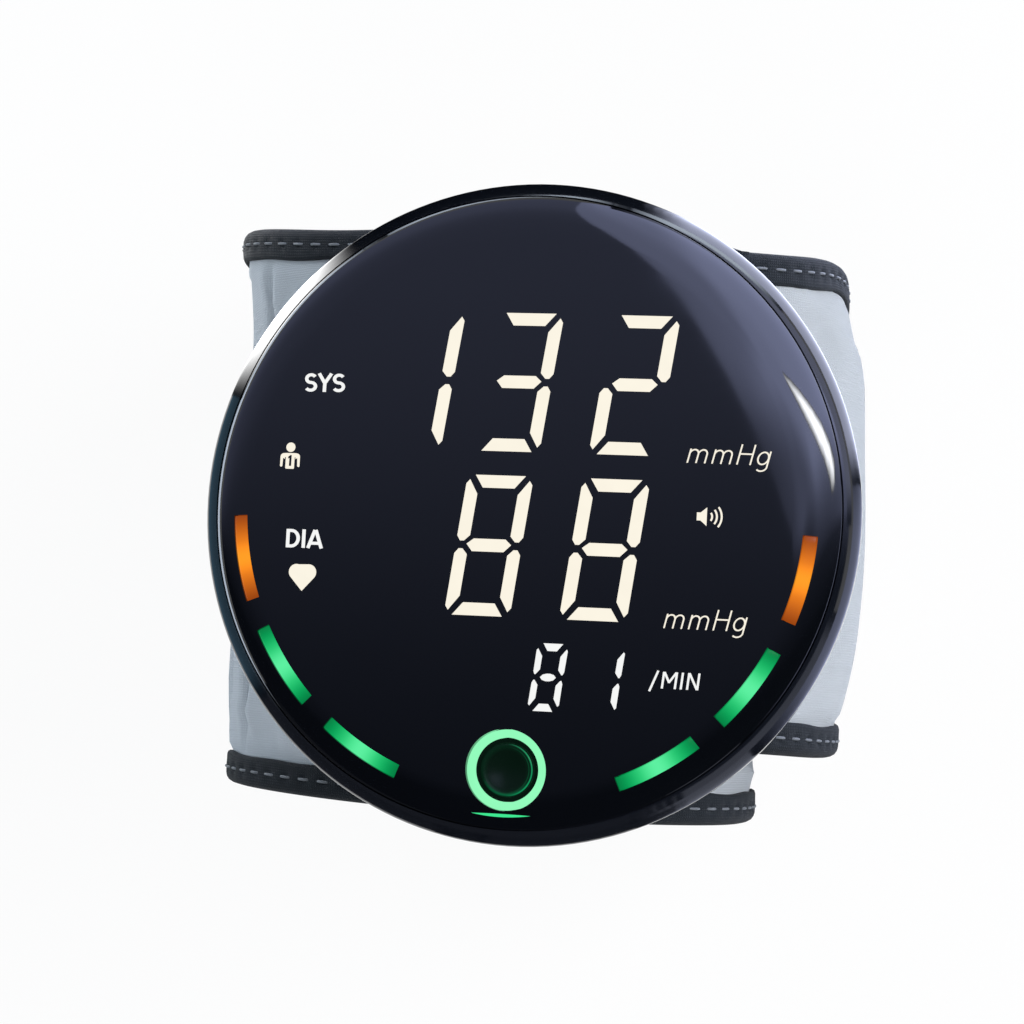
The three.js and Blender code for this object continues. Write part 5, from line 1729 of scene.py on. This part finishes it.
def binding(name, line, toward):
    """The tape over one long edge; toward is 1 for the +Y edge and -1 for the -Y edge."""
    edge = np.where(toward > 0, line["hand"], -line["arm"])[:, None]
    inset = fold_line[:, 0][None, :]
    offset = fold_line[:, 1][None, :]
    along = line["length"][:, None]
    outer = np.arange(len(fold_line))[None, :] < len(fold_outer)
    dip = np.where(outer, needle_pull(inset, along), 0.0)
    drift = 0.12 * np.sin(0.21 * along + toward) + 0.08 * np.sin(0.57 * along + 2.1)
    wander = np.where(inset > 3.4, drift, 0.0)
    side = edge - toward * (inset + wander)
    height = offset - np.sign(offset) * dip
    grid = lay(line, side, height)
    shape = grid.shape[:2]
    item = make_mesh(name, grid.reshape(-1, 3).tolist(), tube_faces(*shape), finishes["binding_cloth"], 60)
    chart = np.stack([np.broadcast_to(along, shape), np.broadcast_to(fold_lengths, shape)], axis=2)
    write_map(item, chart.reshape(-1, 2).tolist())
    return item


for toward, edge_name in ((1, "hand"), (-1, "arm")):
    tape = binding(f"cuff_tape_{edge_name}", loop_fine, toward)
    carry(tape, "monitor", "binding_cloth", f"cuff_binding_{edge_name}")
print("Tape:", len(tape.data.polygons), "faces")

# %% [markdown]
# A stitch is a short piece of thread that comes up through the tape, lies on it and goes down again. It
# is swept as a small tube whose ends dive and thin. The rows on both faces share the needle's holes.

# %% Stitches
thread_radius = 0.2
thread_length = 1.9
thread_seat = 1.93
# share of the length, rise and girth at each station of a stitch
thread_arch = [(-0.5, -0.3, 0.5), (-0.38, -0.04, 0.85), (-0.15, 0.06, 1.0),
               (0.15, 0.06, 1.0), (0.38, -0.04, 0.85), (0.5, -0.3, 0.5)]


def stitches(name, line, toward):
    """A row of stitches on both faces of a binding."""
    points, faces = [], []
    edge_key = "hand" if toward > 0 else "arm"
    keys = ("x", "z", "out_x", "out_z", edge_key, "flare_" + edge_key)
    sides = 8
    across_angles = [2 * math.pi * k / sides for k in range(sides)]
    for number in range(1, int(line["length"][-1] / stitch_pitch)):
        for facing in (1, -1):
            first = len(points)
            for share_along, rise, girth in thread_arch:
                at = number * stitch_pitch + share_along * thread_length
                x, z, out_x, out_z, edge, flare = (np.interp(at, line["length"], line[key]) for key in keys)
                for angle in across_angles:
                    side = toward * (edge - stitch_inset - thread_radius * 0.9 * girth * math.cos(angle))
                    offset = flare + facing * (thread_seat + rise + thread_radius * girth * math.sin(angle))
                    points.append((x + out_x * offset, side, z + out_z * offset))
            faces += [tuple(first + index for index in face) for face in tube_faces(len(thread_arch), sides)]
    return make_mesh(name, points, faces, finishes["thread"], 80)


finishes["thread"] = moulded("thread", (0.12, 0.132, 0.145), 0.7, 0.5)
for toward, edge_name in ((1, "hand"), (-1, "arm")):
    thread = stitches(f"cuff_thread_{edge_name}", loop_fine, toward)
    carry(thread, "monitor", "binding_cloth")
print("Thread:", len(thread.data.polygons), "faces")

# %% [markdown]
# The tail goes on from the loop without a break, so its pieces start where the loop's pieces end. When
# the tail is peeled off, the cloth bends beside the hinge; here these pieces are given to no body: their
# place is baked into their meshes, and the CAD parts they stand for are hidden.


def carry_tail(item, slot, *nodes):
    """Bakes a tail piece's place into its mesh and hides the nodes it stands for; no body carries it."""
    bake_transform(item)
    if nodes:
        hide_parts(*nodes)
    return item


tail_cover = cloth_sheet("tail_cover_cloth", tail_coarse, 1, "cuff_cloth", 0.9, 0.35, -1)
carry_tail(tail_cover, "cuff_cloth", "tail_cover")
tail_lining = cloth_sheet("tail_lining_cloth", tail_coarse, -1, "lining_cloth", 0.2, 0.05, -1)
carry_tail(tail_lining, "lining_cloth", "tail_lining")
for toward, edge_name in ((1, "hand"), (-1, "arm")):
    tape = binding(f"tail_tape_{edge_name}", tail_fine, toward)
    carry_tail(tape, "binding_cloth", f"tail_binding_{edge_name}")
    carry_tail(stitches(f"tail_thread_{edge_name}", tail_fine, toward), "binding_cloth")
print("Tail cover:", len(tail_cover.data.polygons), "faces; tape:", len(tape.data.polygons), "faces")

# %% [markdown]
# The free end of the tail has a tape folded over it too, and so has the short end of the cuff. Each is
# the same fold turned by a quarter: it runs across the band and clasps its end.

# %% End tapes
end_tape_margin = 0.05
end_tape_reach = 0.35


def end_tape(name, line, at_end):
    """A folded tape over one end of a line, thicker in the middle, where it clasps the padding."""
    index = -1 if at_end else 0
    x, z = line["x"][index], line["z"][index]
    out = Vector((line["out_x"][index], line["out_z"][index]))
    ahead = Vector((-out.y, out.x)) * (1 if at_end else -1)
    arm, hand = line["arm"][index], line["hand"][index]
    side = np.linspace(-arm + end_tape_margin, hand - end_tape_margin, 90)
    points = []
    for y in side:
        share = (y - (hand - arm) / 2) / ((hand + arm) / 2)
        taper = 1 - 0.25 * share ** 8
        for inset, offset in fold_line:
            fuller = math.copysign(0.35, offset) * (1 - share ** 2) if abs(offset) > 0.01 else 0.0
            pulled = math.copysign(needle_pull(inset, y), offset) if abs(offset) > 1.5 else 0.0
            height = (offset + fuller - pulled) * taper
            place_at = Vector((x, z)) + ahead * (end_tape_reach - inset) + out * height
            points.append((place_at.x, y, place_at.y))
    faces = tube_faces(len(side), len(fold_line))
    item = make_mesh(name, points, faces, finishes["binding_cloth"], 60)
    write_map(item, [(y, length) for y in side for length in fold_lengths])
    return item


carry_tail(end_tape("tail_tape_end", tail_coarse, True), "binding_cloth", "tail_end_binding")
carry(end_tape("cuff_tape_end", loop_coarse, False), "monitor", "binding_cloth")
print("End tapes: one on the tail and one on the short end")

# %% [markdown]
# Inside the end of the tail lies the hook tape that holds it on the cover. It is a flat patch with
# sewn, thinner edges, laid on the padding like the cloth.

# %% Hook tape
hook_first = int(len(tail_coarse["x"]) * 0.62)
hook_last = len(tail_coarse["x"]) - 4
hook_width_share = 0.8
hook_thickness, hook_edge_drop = 0.85, 0.35
hook_line = {key: value[hook_first:hook_last] for key, value in tail_coarse.items()}
half = ((hook_line["hand"] + hook_line["arm"]) / 2 - binding_width)[:, None] * hook_width_share
middle = ((hook_line["hand"] - hook_line["arm"]) / 2)[:, None]
share = np.linspace(-1, 1, 50)[None, :]
side = middle + share * half
seat = padding(share * hook_width_share) + binding_gap + 0.05
edge_drop = hook_edge_drop * (np.abs(share) > 0.97)
hook_front = lay(hook_line, side, -(seat + hook_thickness - edge_drop))
hook_rear = lay(hook_line, side, -(seat + 0 * side))
hooks = skin("tail_hook_tape", hook_front, hook_rear, chart_of(hook_line, side), "hook_tape", 40)
carry_tail(hooks, "hook_tape", "tail_hook_patch")
print("Hook tape:", len(hooks.data.polygons), "faces")

# %% [markdown]
# The air bladder lies between cover and lining and is never seen, but it is a soft bag and not a block,
# so it gets its own soft skin as well.

# %% Air bladder
bag_first_angle, bag_last_angle = 13.0, 236.0
bag_width_share = 0.72
bladder_line = even_line(loop_stations(bag_first_angle, bag_last_angle, 2 * sample_step), 2 * coarse_step)
half = ((bladder_line["hand"] + bladder_line["arm"]) / 2 - binding_width)[:, None]
middle = ((bladder_line["hand"] - bladder_line["arm"]) / 2)[:, None]
share = np.linspace(-1, 1, 24)[None, :]
side = middle + share * half * bag_width_share
fullness = np.sqrt(np.maximum(1 - np.abs(share) ** 6, 0.02))
height = (padding(share * bag_width_share) - cloth_thickness - 0.3) * fullness
bladder = skin("air_bag", lay(bladder_line, side, height), lay(bladder_line, side, -height),
               chart_of(bladder_line, side), "chip_black")
carry(bladder, "monitor", "chip_black", "cuff_bladder")
print("Air bag:", len(bladder.data.polygons), "faces")
